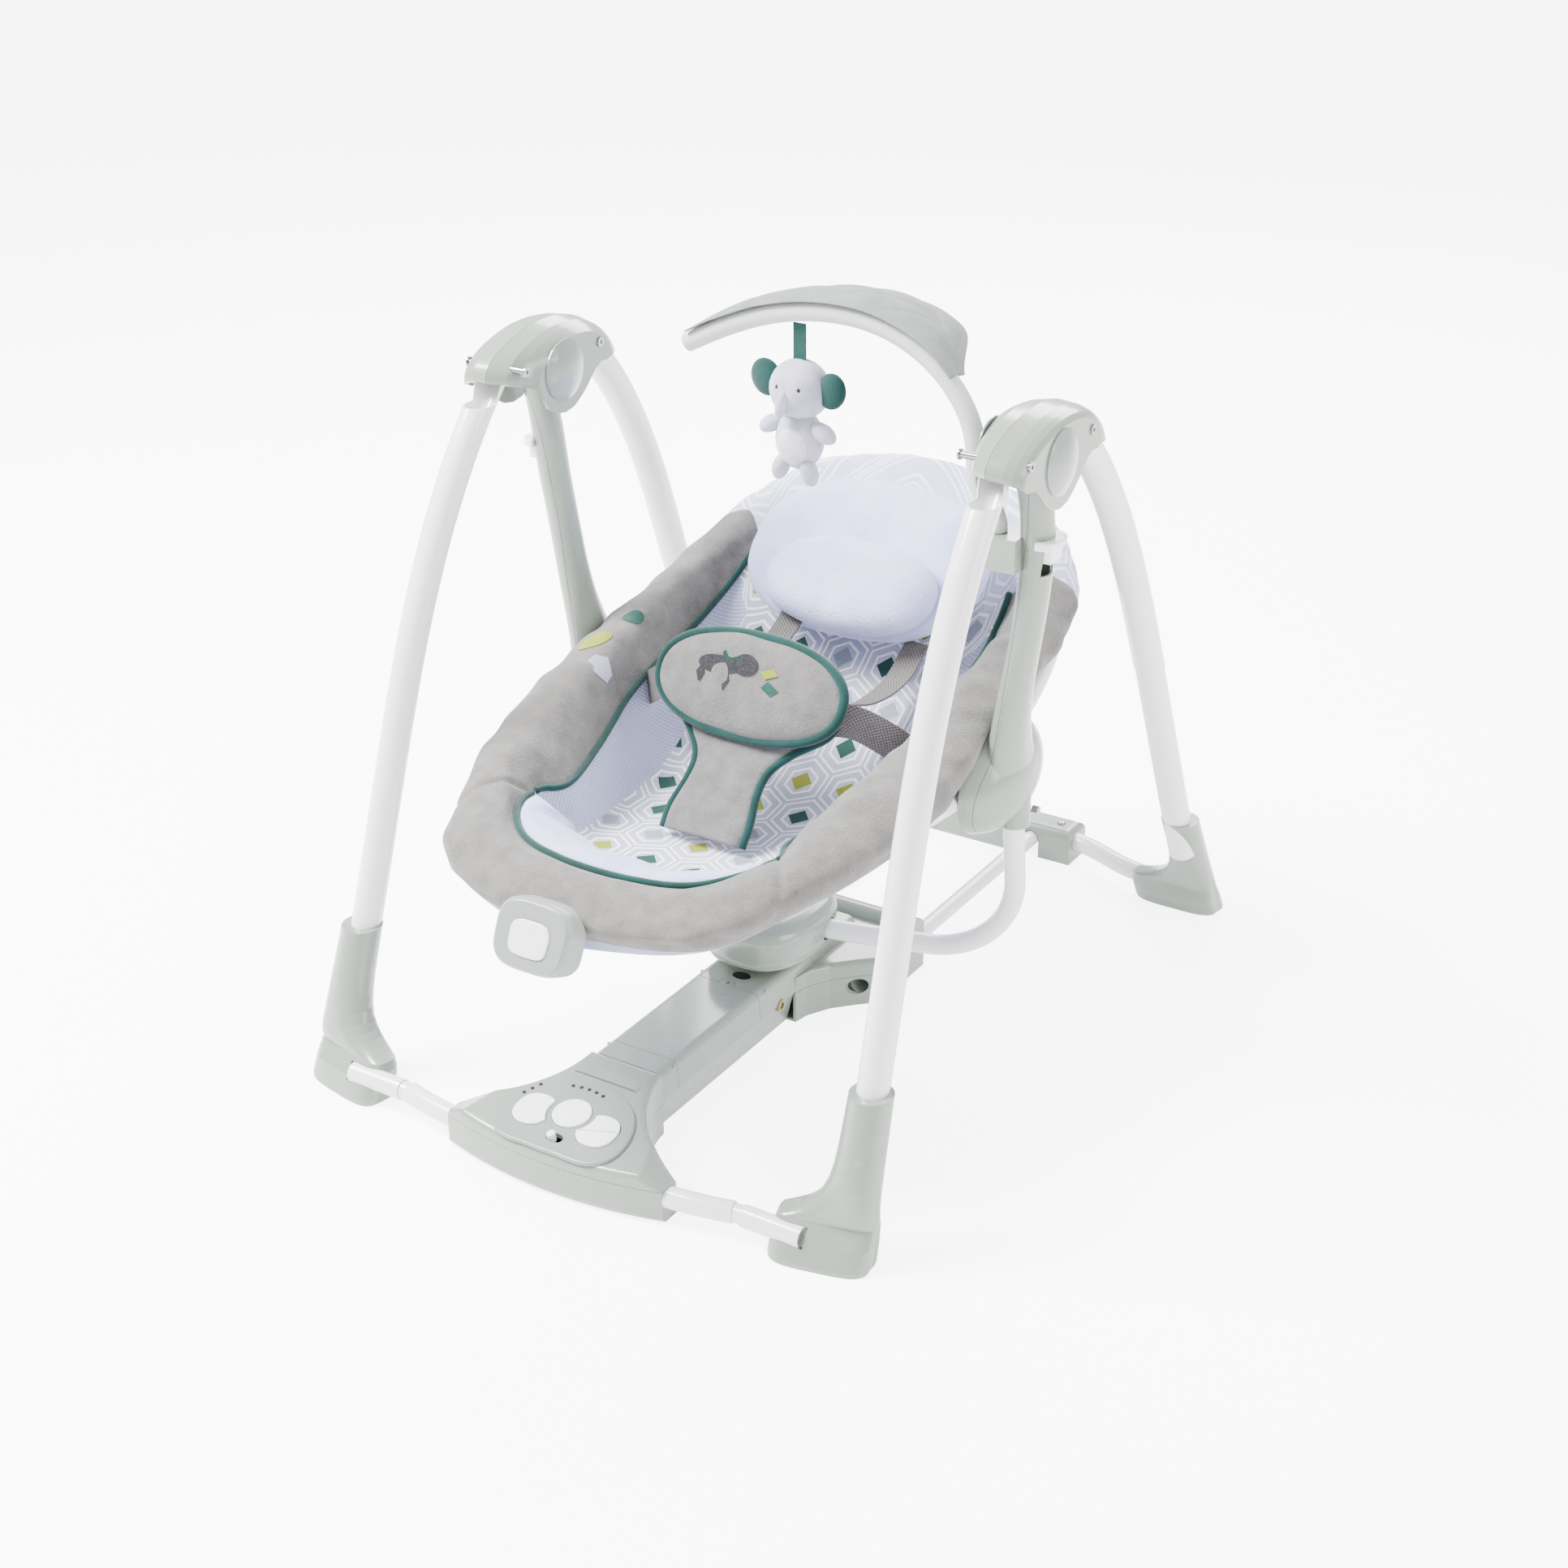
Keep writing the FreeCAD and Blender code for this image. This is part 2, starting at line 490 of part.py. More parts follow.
def head(inset, top):
    """Anchor shaped rear end of the base, with swept wings."""
    w, fy, ry = HEAD_HALF - inset, HEAD_FRONT_Y + inset, HEAD_REAR_Y - inset
    hx = SPINE_HALF_TOP - inset
    pts = [(-hx, 20), (hx, 20), (hx + 3, 36), (hx + 15, 58 + inset), (hx + 32, 76 + inset), (w, fy),
           (w, ry), (-w, ry), (-w, fy), (-hx - 32, 76 + inset), (-hx - 15, 58 + inset), (-hx - 3, 36)]
    ring = Part.makePolygon([V(x, y, inset) for x, y in pts + pts[:1]])
    block = Part.Face(ring).extrude(V(0, 0, top - inset))
    if inset == 0:
        block = block.makeFillet(5.0, [e for e in block.Edges if e.BoundBox.ZLength < 0.1
                                       and e.BoundBox.ZMin > top - 1 and e.BoundBox.YMax < ry - 5 and e.BoundBox.YMin > 30])
    return block


UNIT_TOP = PANEL_Z - PANEL_RAISE
outer = front_unit(0, UNIT_TOP)
rounded = [e for e in outer.Edges if e.BoundBox.ZMin > 20 and e.BoundBox.YMax < WING_REAR[-1][1] + 1 and not e.BoundBox.XLength < 0.1]
outer = outer.makeFillet(6.0, rounded)
beam = rod(X_AXIS, BEAM_R, (-HEAD_HALF, BEAM_Y, BEAM_TOP - BEAM_R), 2 * HEAD_HALF)
beam = beam.fuse(box(-HEAD_HALF, HEAD_HALF, BEAM_Y - BEAM_R, BEAM_Y + BEAM_R, 5, BEAM_TOP - BEAM_R))
base = spine(0).fuse([outer, head(0, HEAD_TOP), beam])
hollow = spine(BASE_WALL).fuse([front_unit(BASE_WALL, UNIT_TOP - BASE_WALL), head(BASE_WALL, HEAD_TOP - BASE_WALL)])
half_bow = [(TUBE_STRAIGHT_X, FRONT_AXLE_Y), (118, -295.5), (60, TUBE_BOW_Y + 0.5)]
bow = [(-x, y) for x, y in half_bow] + [(0, TUBE_BOW_Y)] + half_bow[::-1]
cross_wire = path([(x, y, FRONT_AXLE_Z) for x, y in bow])
tube_room = along(cross_wire, CROSS_TUBE_D / 2 + SET_FIT)
rail_blocks = Part.makeCompound([box(s * RAIL_X - 11, s * RAIL_X + 11, HEAD_FRONT_Y - 12, HEAD_REAR_Y, RAIL_Z - 11, RAIL_Z + 11)
                                 for s in (1, -1)])
hollow = hollow.cut(rail_blocks)
base = base.cut(hollow).cut(tube_room)
for s in (1, -1):
    base = base.cut(rod(Y_AXIS, RAIL_D / 2 + RUN_FIT, (s * RAIL_X, HEAD_FRONT_Y - 30, RAIL_Z), 120.0))
base_upper = base.common(box(-200, 200, -400, 300, PARTING_Z + SEAM / 2, 100))
base_lower = solid(base.common(box(-200, 200, -400, 300, -1, PARTING_Z - SEAM / 2)))

# Battery door: the part of the upper shell between two seams, with a notch at its screw.
DOOR_SEAM = 0.5
door_room = box(-60, 60, DOOR_FRONT_Y, DOOR_REAR_Y, PARTING_Z, 90)
door_room = door_room.fuse(rod(Z_AXIS, 8.0, (0, DOOR_REAR_Y + 1, PARTING_Z + 15), 60.0))
door_block = box(-60, 60, DOOR_FRONT_Y + DOOR_SEAM, DOOR_REAR_Y - DOOR_SEAM, PARTING_Z, 90)
door_block = door_block.fuse(rod(Z_AXIS, 8.0 - DOOR_SEAM, (0, DOOR_REAR_Y + 1, PARTING_Z + 15), 60.0))
bay_half = SPINE_HALF_TOP - BASE_WALL
bay_floor = PARTING_Z + SEAM / 2
LEDGE_H = 3.0
ledge_room = box(bay_half - 5.4, bay_half, DOOR_FRONT_Y, DOOR_REAR_Y + 20, bay_floor - 1, bay_floor + LEDGE_H + 0.4)
battery_door = base_upper.common(door_block).cut(rod(Z_AXIS, 2.2, (0, DOOR_REAR_Y + 3, 40), 40.0))
battery_door = solid(battery_door.cut([ledge_room, flip(ledge_room, -1)]))
base_upper = base_upper.cut(door_room)

# Two bulkheads and two ledges inside the spine carry the door and tie the shell together.
BAY_FRONT_Y = DOOR_FRONT_Y - 4.0
BAY_REAR_Y = DOOR_REAR_Y + 11.0
bay = [box(-bay_half - 1, bay_half + 1, y, y + BASE_WALL, bay_floor, SPINE_TOP - BASE_WALL + 0.5)
       for y in (BAY_FRONT_Y, BAY_REAR_Y)]
for s in (1, -1):
    ledge = box(bay_half - 5.0, bay_half - 0.4, BAY_FRONT_Y, BAY_REAR_Y + BASE_WALL, bay_floor, bay_floor + LEDGE_H)
    bay.append(flip(ledge, s))
base_upper = base_upper.fuse(bay)

# Drive sensor window, oval, let into the top of the spine.
WINDOW_Y = -20.0
WINDOW_X = 4.0
window_hole = Part.Face(squircle(WINDOW_X, WINDOW_Y, SPINE_TOP - 5, 9.2, 6.2)).extrude(V(0, 0, 10))
sensor_window = Part.Face(squircle(WINDOW_X, WINDOW_Y, SPINE_TOP - 2.2, 9.0, 6.0)).extrude(V(0, 0, 2.4))
base_upper = base_upper.cut(window_hole)

# Power inlet on the right flank, on the parting line.
inlet_face = SPINE_HALF_TOP
inlet_hole = rod(X_AXIS, INLET_R + 0.2, (inlet_face - 12, INLET_Y, PARTING_Z), 20.0)
base_upper = base_upper.cut(inlet_hole)
base_lower = solid(base_lower.cut(inlet_hole))
power_inlet = rod(X_AXIS, INLET_R, (inlet_face - 9, INLET_Y, PARTING_Z), 10.2)
power_inlet = power_inlet.cut(rod(X_AXIS, 3.4, (inlet_face - 7, INLET_Y, PARTING_Z), 12.0))
power_inlet = solid(power_inlet.fuse(rod(X_AXIS, 1.1, (inlet_face - 8, INLET_Y, PARTING_Z), 8.0)))


# ---------------------------------------------------------------- control panel
def on_panel(shape):
    """Move a piece built flat round the origin onto the sloping panel."""
    shape.rotate(V(0, 0, 0), X_AXIS, PANEL_SLOPE)
    shape.translate(V(0, PANEL_Y, PANEL_Z))
    return shape


def key_outline(side, grow):
    """Petal shaped key beside the round button, as a flat face."""
    ax, ay = 17.5 + grow, 18.5 + grow
    petal = Part.Face(squircle(side * 33.0, -4.0, 0, ax, ay, 2.3))
    clear = Part.Face(Part.Wire([Part.makeCircle(BUTTON_R + 5.5 - grow, V(0, 5, 0))]))
    return petal.cut(clear).Faces[0]


KEY_DEPTH = 4.5
PANEL_T = PANEL_RAISE * cos(radians(PANEL_SLOPE))
rim = [(0, 45.5), (28, 41.5), (48, 28), (60, 8), (63.5, -13), (58, -31), (45, -39.5), (20, -41), (0, -41.2)]
rim = rim + [(-x, y) for x, y in rim[-2:0:-1]]
plate = Part.Face(closed_curve([(x, y, -PANEL_T) for x, y in rim])).extrude(V(0, 0, PANEL_T))
plate = plate.makeFillet(1.6, top_edges(plate, -0.5))
room = [rod(Z_AXIS, BUTTON_R + BUTTON_GAP, (0, 5, -10), 30.0)]
for s in (1, -1):
    face = key_outline(s, BUTTON_GAP)
    face.translate(V(0, 0, -10))
    room.append(face.extrude(V(0, 0, 30)))
slide_room = Part.Face(squircle(3.4, -25.0, -10, 8.0, 5.2, 2.4)).extrude(V(0, 0, 30))
room.append(slide_room)
light_spots = [(-54 + 3.6 * i, 10.0 + 7.2 * i) for i in range(3)]
light_spots += [(-20 + 7.8 * i, 36.6 - 0.45 * (i - 2) ** 2) for i in range(5)]
room += [rod(Z_AXIS, 1.7, (x, y, -10), 30.0) for x, y in light_spots]
plate = solid(plate.cut(Part.makeCompound(room)))
control_panel = on_panel(plate)
sunk = [on_panel(r.copy()) for r in room[:-8]]
base_upper = base_upper.cut(sunk)
lights = [on_panel(rod(Z_AXIS, 1.6, (x, y, -PANEL_T), PANEL_T + 0.5)) for x, y in light_spots]


def key(face, rise, soft=0.6):
    """Key body that stands a little proud of the panel, with a soft top edge where the outline allows it."""
    face.translate(V(0, 0, -KEY_DEPTH))
    body = face.extrude(V(0, 0, KEY_DEPTH + rise))
    return on_panel(body.makeFillet(soft, top_edges(body, rise - 0.1)) if soft else body)


middle_key = key(Part.Face(Part.Wire([Part.makeCircle(BUTTON_R, V(0, 5, 0))])), BUTTON_RISE)
left_key = key(key_outline(-1, 0), BUTTON_RISE)
pair = key_outline(1, 0)
split = pair.BoundBox.Center
cutter = box(-40, 40, 0.4, 60, -20, 20)
cutter.rotate(V(0, 0, 0), Z_AXIS, 18)
cutter.translate(V(split.x, split.y, 0))
upper_key = key(pair.common(cutter).Faces[0], BUTTON_RISE, 0)
cutter = box(-40, 40, -60, -0.4, -20, 20)
cutter.rotate(V(0, 0, 0), Z_AXIS, 18)
cutter.translate(V(split.x, split.y, 0))
lower_key = key(pair.common(cutter).Faces[0], BUTTON_RISE, 0)
slide_knob = Part.Face(squircle(0.2, -25.0, -KEY_DEPTH, 3.6, 3.8, 2.4)).extrude(V(0, 0, KEY_DEPTH + 4.5))
slide_knob = on_panel(slide_knob.makeFillet(1.2, top_edges(slide_knob, 4.0)))

# -------------------------------------------------------------- inside the base
cells = []
for i in (0, 1):
    for s in (1, -1):
        y0 = DOOR_FRONT_Y + 14 + i * (CELL_L + 3.5)
        cell = rod(Y_AXIS, CELL_R, (s * (CELL_R + 0.6), y0, PARTING_Z), CELL_L)
        cells.append(cell.fuse(rod(Y_AXIS, 3.2, (s * (CELL_R + 0.6), y0 + CELL_L, PARTING_Z), 1.6)))
BOARD_Z = 33.5
board = box(-44, 44, -304, -262, BOARD_Z, BOARD_Z + 1.6)
coil = rod(Z_AXIS, 22.0, (0, 24, 30), 12.0).cut(rod(Z_AXIS, 9.0, (0, 24, 28), 20.0))
core = rod(Z_AXIS, 8.6, (0, 24, 28), 15.0)

CROSS_END = FOOT_INNER_X + 28.0
cross_parts = [along(cross_wire, CROSS_TUBE_D / 2)]
for s in (1, -1):
    spigot = rod(X_AXIS, CROSS_SPIGOT_D / 2, (TUBE_STRAIGHT_X - 2, FRONT_AXLE_Y, FRONT_AXLE_Z), CROSS_END - TUBE_STRAIGHT_X + 2)
    shoulder = rod(X_AXIS, CROSS_TUBE_D / 2, (TUBE_STRAIGHT_X, FRONT_AXLE_Y, FRONT_AXLE_Z), RING_X - RING_GAP / 2 - TUBE_STRAIGHT_X)
    cross_parts += [flip(spigot, s), flip(shoulder, s)]
cross_tube = solid(cross_parts[0].fuse(cross_parts[1:]))

# -------------------------------------------------------------------- swing arms
# Level slices of the arm from under the housing to the hub: height, centre
# across, centre fore and aft, half width across, half width fore and aft.
ARM_SLICES = [(585, 246.0, PIVOT_Y, 14.0, 12.0), (560, 247.0, 45, 14.2, 13.0), (530, 248.0, 54, 14.4, 14.5),
              (495, 247.0, 59, 14.2, 15.2), (455, 243.0, 62, 13.8, 15.4), (410, 236.5, 64, 13.4, 16.0),
              (365, 229.0, 66, 13.8, 18.5), (325, 222.5, 72, 15.0, 25.0), (290, 219.0, 80, 17.0, 36.0)]


def arm_volume(inset):
    """Solid volume of one arm with its hub, moved in by a wall."""
    slices = [squircle(x, y, z, ax - inset, ay - inset) for z, x, y, ax, ay in ARM_SLICES]
    limb = Part.makeLoft(slices, True, False)
    ball = Part.makeSphere(1.0)
    stretch = FreeCAD.Matrix()
    stretch.scale(V(HUB_X_OUT - HUB_X_IN + 4 - inset, HUB_HALF_Y - inset, HUB_HALF_Z - inset))
    egg = ball.transformGeometry(stretch)
    egg.rotate(V(0, 0, 0), X_AXIS, 14)
    egg.translate(V(HUB_X_IN - 4, HUB_Y, HUB_Z))
    egg = egg.common(box(HUB_X_IN + inset, 260, -50, 220, 150, 400))
    return limb, egg


limb, egg = arm_volume(0)
boss = rod(X_AXIS, BOSS_R, (HOUSING_X - BOSS_HALF, PIVOT_Y, PIVOT_Z), 2 * BOSS_HALF)
sleeve = rod(Z_AXIS, SWING_TUBE_D / 2 + 4.5, (SWING_TUBE_X, HUB_Y + 4.5, HUB_Z - 47), 40.0)
arm = limb.fuse([egg, sleeve])
limb_in, egg_in = arm_volume(ARM_WALL)
swing_wire = bent_path([(-SWING_TUBE_X, HUB_Y + 1, HUB_Z - 20), (-SWING_TUBE_X, HUB_Y + 20, SWING_TUBE_Z + 1),
                        (-POD_HALF_X, SWING_TUBE_Y, SWING_TUBE_Z), (POD_HALF_X, SWING_TUBE_Y, SWING_TUBE_Z),
                        (SWING_TUBE_X, HUB_Y + 20, SWING_TUBE_Z + 1), (SWING_TUBE_X, HUB_Y + 1, HUB_Z - 20)],
                       SWING_TUBE_BEND)
swing_tube = tube(swing_wire, SWING_TUBE_D, LEG_WALL)
arm_cut = limb_in.common(box(150, 300, -50, 220, 240, 540))
arm_cut = arm_cut.fuse(egg_in.common(box(150, 300, -50, 220, HUB_Z - 30, 400)))
arm = arm.cut(arm_cut).fuse(boss)
arm = arm.cut(rod(X_AXIS, AXLE_D / 2 + RUN_FIT, (HOUSING_X - 40, PIVOT_Y, PIVOT_Z), 80.0))
arm = arm.cut(along(swing_wire, SWING_TUBE_D / 2 + SET_FIT))

# The arm is two mouldings that meet on a plane that leans with the arm.
SPLIT_LEAN = 7.2
split_low = V(HUB_X_IN + 13.5, 0, HUB_Z)
outer_half = box(SEAM / 2, 200, -200, 300, -300, 500)
inner_half = box(-200, -SEAM / 2, -200, 300, -300, 500)
for half in (outer_half, inner_half):
    half.rotate(V(0, 0, 0), Y_AXIS, SPLIT_LEAN)
    half.translate(split_low)
arm_outer = arm.common(outer_half)
arm_inner = arm.common(inner_half)

# Lock slider in a slot on the outer face of the arm, with the window above it.
SLIDER_X = 256.0
SLIDER_OUT = 267.0
slot = box(SLIDER_X - 1.5, 300, 60 - SLIDER_HALF_Y + 4, 60 + SLIDER_HALF_Y - 4, SLIDER_Z - SLIDER_TRAVEL - 10.5, SLIDER_Z + 10.5)
arm_outer = arm_outer.cut(slot)
tab = box(SLIDER_X, SLIDER_OUT - 3, 60 - SLIDER_HALF_Y + 4.4, 60 + SLIDER_HALF_Y - 4.4, SLIDER_Z - 10, SLIDER_Z + 10)
# The thumb shelf is a half ring round the outside of the arm, clear of it over the whole slide.
COLLAR_Z = SLIDER_Z + 3.0
collar = Part.Face(squircle(251, 59, COLLAR_Z, 19.0, 20.0, 2.6)).extrude(V(0, 0, 7.0))
collar = collar.makeFillet(1.6, [e for e in collar.Edges if e.BoundBox.ZLength < 0.1])
limb_room = arm_volume(-0.6)[0]
low_room = limb_room.copy()
low_room.translate(V(0, 0, SLIDER_TRAVEL))
collar = collar.common(box(SLIDER_X - 2.0, 300, 0, 120, 400, 600)).cut([limb_room, low_room])
lock_slider = solid(tab.fuse(collar))
WINDOW_Z = 524.0
WINDOW_HALF = 5.0
WINDOW_AT_Y = 62.0
pane_room = box(255, 300, WINDOW_AT_Y - WINDOW_HALF, WINDOW_AT_Y + WINDOW_HALF, WINDOW_Z - 6, WINDOW_Z + 6)
arm_outer = solid(arm_outer.cut(pane_room))
pane = box(255.3, 300, WINDOW_AT_Y - WINDOW_HALF + 0.3, WINDOW_AT_Y + WINDOW_HALF - 0.3, WINDOW_Z - 5.7, WINDOW_Z + 5.7)
pane = solid(pane.common(arm_volume(0.3)[0]))

HUB_SCREW_Y = HUB_Y + 22.0
HUB_SCREW_Z = HUB_Z - 38.0
hub_screw = rod(X_AXIS, 3.6, (HUB_X_OUT - 8, HUB_SCREW_Y, HUB_SCREW_Z), 6.0)
arm_outer = solid(arm_outer.cut(rod(X_AXIS, 3.8, (HUB_X_OUT - 8.2, HUB_SCREW_Y, HUB_SCREW_Z), 40.0)))

# -------------------------------------------------------------------------- pod
pod_mid_y = (POD_FRONT_Y + POD_REAR_Y) / 2
pod_half_y = (POD_REAR_Y - POD_FRONT_Y) / 2


def pod_volume(inset, bottom):
    """Rounded box with a softly domed top."""
    rows = [(bottom, 0.0), (POD_TOP - 16, 0.0), (POD_TOP - 6, 3.5), (POD_TOP - 1.5 - inset, 10.0), (POD_TOP - inset, 20.0)]
    return Part.makeLoft([squircle(0, pod_mid_y, z, POD_HALF_X - inset - draw, pod_half_y - inset - draw, 2.7)
                          for z, draw in rows], True, False)


POD_LID = 3.0
pod_outer = pod_volume(0, POD_BOTTOM + POD_LID + 0.4)
pod_shell = pod_outer.cut(pod_volume(POD_WALL, POD_BOTTOM - 1))
tube_room = along(swing_wire, SWING_TUBE_D / 2 + 1.5)
below_tube = box(-100, 100, SWING_TUBE_Y - 11, SWING_TUBE_Y + 11, POD_BOTTOM, SWING_TUBE_Z)
pod_shell = solid(pod_shell.cut(tube_room).cut(below_tube))
lid = Part.Face(squircle(0, pod_mid_y, POD_BOTTOM, POD_HALF_X - 1.5, pod_half_y - 1.5, 2.7)).extrude(V(0, 0, POD_LID))
lid = lid.cut(tube_room)
magnet = box(-22, 22, -8, 40, POD_BOTTOM + POD_LID + 0.2, POD_BOTTOM + POD_LID + 14)
catch = box(-9, 9, POD_FRONT_Y + 6, POD_FRONT_Y + 16, POD_BOTTOM - 2.2, POD_BOTTOM)

# ----------------------------------------------------------------- seat bucket
# Upright slices of the padded bucket from the toe to the head: place fore and
# aft, half width, side rim height, middle height and underside height.
PAD_SLICES = [(-294, 58, 257, 262, 240), (-274, 112, 264, 268, 228), (-234, 150, 275, 279, 214), (-184, 178, 288, 291, 204),
              (-112, 200, 306, 307, 196), (-40, 212, 322, 322, 192), (20, 208, 335, 335, 192), (84, 201, 349, 349, 198),
              (146, 203, 359, 362, 226), (204, 202, 368, 388, 264), (254, 198, 376, 424, 304), (292, 188, 383, 448, 345),
              (320, 160, 396, 456, 384), (336, 112, 414, 451, 412)]
# Floor of the hollow: place fore and aft, half width and floor height.
HOLLOW_SLICES = [(-252, 62, 270), (-226, 100, 257), (-180, 128, 240), (-112, 150, 222), (-40, 162, 213), (20, 160, 216),
                 (84, 153, 252), (146, 150, 304), (196, 140, 350), (228, 118, 384)]


def pad_section(y, w, side, middle, bottom):
    h = side - bottom
    half = [(0.0, bottom), (0.42 * w, bottom + 0.02 * h), (0.70 * w, bottom + 0.16 * h), (0.815 * w, bottom + 0.42 * h),
            (0.875 * w, bottom + 0.66 * h), (0.985 * w, bottom + 0.84 * h), (0.985 * w, bottom + 0.95 * h),
            (0.90 * w, side + 0.2), (0.70 * w, side + 0.25 * (middle - side)), (0.38 * w, side + 0.75 * (middle - side)),
            (0.0, middle)]
    left = [(-x, z) for x, z in half[-2:0:-1]]
    return closed_curve([(x, y, z) for x, z in half + left])


def hollow_section(y, w, floor):
    ceiling = floor + 240
    half = [(0.0, floor), (0.45 * w, floor + 3), (0.78 * w, floor + 14), (0.94 * w, floor + 42), (1.0 * w, floor + 90),
            (1.05 * w, floor + 170), (0.8 * w, ceiling), (0.0, ceiling)]
    left = [(-x, z) for x, z in half[-2:0:-1]]
    return closed_curve([(x, y, z) for x, z in half + left])


seat_body = Part.makeLoft([pad_section(*row) for row in PAD_SLICES], True, False)
seat_hollow = Part.makeLoft([hollow_section(*row) for row in HOLLOW_SLICES], True, False)
front_seat_wire = path([(190, 58, 262), (193, 10, 268), (190, -60, 272), (172, -150, 264), (130, -228, 253), (66, -268, 248),
                        (0, -279, 247), (-66, -268, 248), (-130, -228, 253), (-172, -150, 264), (-190, -60, 272),
                        (-193, 10, 268), (-190, 58, 262)])
rear_seat_wire = path([(190, 110, 284), (190, 160, 302), (184, 220, 330), (160, 280, 366), (110, 318, 398), (50, 332, 414),
                       (0, 335, 418), (-50, 332, 414), (-110, 318, 398), (-160, 280, 366), (-184, 220, 330),
                       (-190, 160, 302), (-190, 110, 284)])
seat_tubes = [tube(w, SEAT_TUBE_D, LEG_WALL) for w in (front_seat_wire, rear_seat_wire)]
seat_pad = seat_body.cut(seat_hollow)
for w in (front_seat_wire, rear_seat_wire):
    seat_pad = seat_pad.cut(along(w, SEAT_TUBE_D / 2 + PAD_TUBE_ROOM))
seat_pad = solid(seat_pad)


def disc(side):
    """Recline disc inside the hub, with two sockets for the seat tubes."""
    x1 = HUB_X_IN - DISC_GAP
    plate = rod(X_AXIS, DISC_R, (x1 - DISC_T, HUB_Y, HUB_Z), DISC_T)
    plate = plate.makeFillet(2.0, [e for e in plate.Edges if abs(e.BoundBox.XMax - (x1 - DISC_T)) < 0.1])
    ring = rod(X_AXIS, DISC_R - 9, (x1 - DISC_T - 1, HUB_Y, HUB_Z), 2.0)
    ring = ring.cut(rod(X_AXIS, DISC_R - 10, (x1 - DISC_T - 2, HUB_Y, HUB_Z), 4.0))
    body = plate.cut(ring)
    for wire in (front_seat_wire, rear_seat_wire):
        edge = wire.Edges[0]
        start = edge.valueAt(edge.FirstParameter)
        tangent = edge.tangentAt(edge.FirstParameter)
        body = body.fuse(Part.makeCylinder(SEAT_TUBE_D / 2 + 3.2, 30.0, start - tangent * 8.0, tangent))
    pin = rod(X_AXIS, 8.0, (x1 - 1, HUB_Y, HUB_Z), 9.0)
    body = body.common(box(100, x1, -50, 220, 150, 400)).fuse(pin)
    for wire in (front_seat_wire, rear_seat_wire):
        body = body.cut(along(wire, SEAT_TUBE_D / 2 + SET_FIT))
    return flip(solid(body), side)


pivot_room = rod(X_AXIS, 8.0 + RUN_FIT, (HUB_X_IN - 5, HUB_Y, HUB_Z), 14.5)
arm_inner = solid(arm_inner.cut(pivot_room))
arm_outer = solid(arm_outer.cut(pivot_room))
collar_room = Part.makeCompound([along(w, SEAT_TUBE_D / 2 + 3.2 + PAD_TUBE_ROOM).common(box(-260, 260, -10, 170, 200, 340))
                                 for w in (front_seat_wire, rear_seat_wire)])
disc_room = Part.makeCompound([flip(rod(X_AXIS, DISC_R + 2.5, (HUB_X_IN - DISC_GAP - DISC_T - 1.5, HUB_Y, HUB_Z), 40.0), s)
                               for s in (1, -1)])
hub_room = Part.makeCompound([flip(rod(X_AXIS, HUB_HALF_Y + 4.0, (HUB_X_IN - 1.5, HUB_Y, HUB_Z), 40.0), s)
                              for s in (1, -1)])
seat_pad = solid(seat_pad.cut(collar_room).cut(disc_room).cut(hub_room))

# --------------------------------------------------- soft pieces inside the seat


def lozenge(cx, cy, cz, ax, ay, thick, tilt):
    """Plump oval pad, thin at its edge, tipped about X."""
    rows = [(-0.5, 0.82), (-0.28, 0.97), (0.0, 1.0), (0.28, 0.97), (0.5, 0.82)]
    body = Part.makeLoft([squircle(0, 0, k * thick, ax * s, ay * s, 2.3) for k, s in rows], True, False)
    body.rotate(V(0, 0, 0), X_AXIS, tilt)
    body.translate(V(cx, cy, cz))
    return body


head_support = lozenge(0, 214, 412, 110, 60, 22, 40)
crotch_flap = lozenge(0, 6, 338, 88, 44, 18, 62)
crotch_stem = Part.makeBox(56, 12, 88, V(-28, -6, 0))
crotch_stem.rotate(V(0, 0, 0), X_AXIS, -46)
crotch_stem.translate(V(0, -72, 238))
crotch_pad = solid(crotch_flap.fuse(crotch_stem))

STRAP_W = 24.0
STRAP_T = 2.2


def strap(points, across):
    """Flat webbing that follows a line of points, one width and one thickness."""
    wide = V(*across).normalize() * (STRAP_W / 2)
    pieces = []
    for a, b in zip(points, points[1:]):
        a, b = V(*a), V(*b)
        run = b - a
        lift = run.cross(wide).normalize() * STRAP_T
        ring = Part.makePolygon([a - wide, a + wide, a + wide + lift, a - wide + lift, a - wide])
        pieces.append(Part.Face(ring).extrude(run))
    return pieces


waist = strap([(96, 16, 330), (138, 40, 300)], (0, 0.5, 0.9)) + strap([(-138, 40, 300), (-96, 16, 330)], (0, 0.5, 0.9))
shoulder = strap([(62, 118, 318), (56, 142, 336)], (1, 0, 0)) + strap([(-62, 118, 318), (-56, 142, 336)], (1, 0, 0))

# --------------------------------------------------------------- vibration unit
vib_slices = [squircle(0, 0, k * VIB_T, VIB_W / 2 * s, VIB_H / 2 * s, 3.4)
              for k, s in ((-0.5, 0.90), (-0.36, 0.98), (0.1, 1.0), (0.38, 0.97), (0.5, 0.88))]
vibration_unit = Part.makeLoft(vib_slices, True, False)
vib_key_room = Part.Face(squircle(0, -2, VIB_T * 0.5 - 6, 19.5, 15.5, 3.6)).extrude(V(0, 0, 12))
vib_key = Part.Face(squircle(0, -2, VIB_T * 0.5 - 3.4, 19.0, 15.0, 3.6)).extrude(V(0, 0, 4.8))
vib_key = vib_key.makeFillet(1.2, top_edges(vib_key, VIB_T * 0.5 + 1.0))
vibration_unit = solid(vibration_unit.cut(vib_key_room))


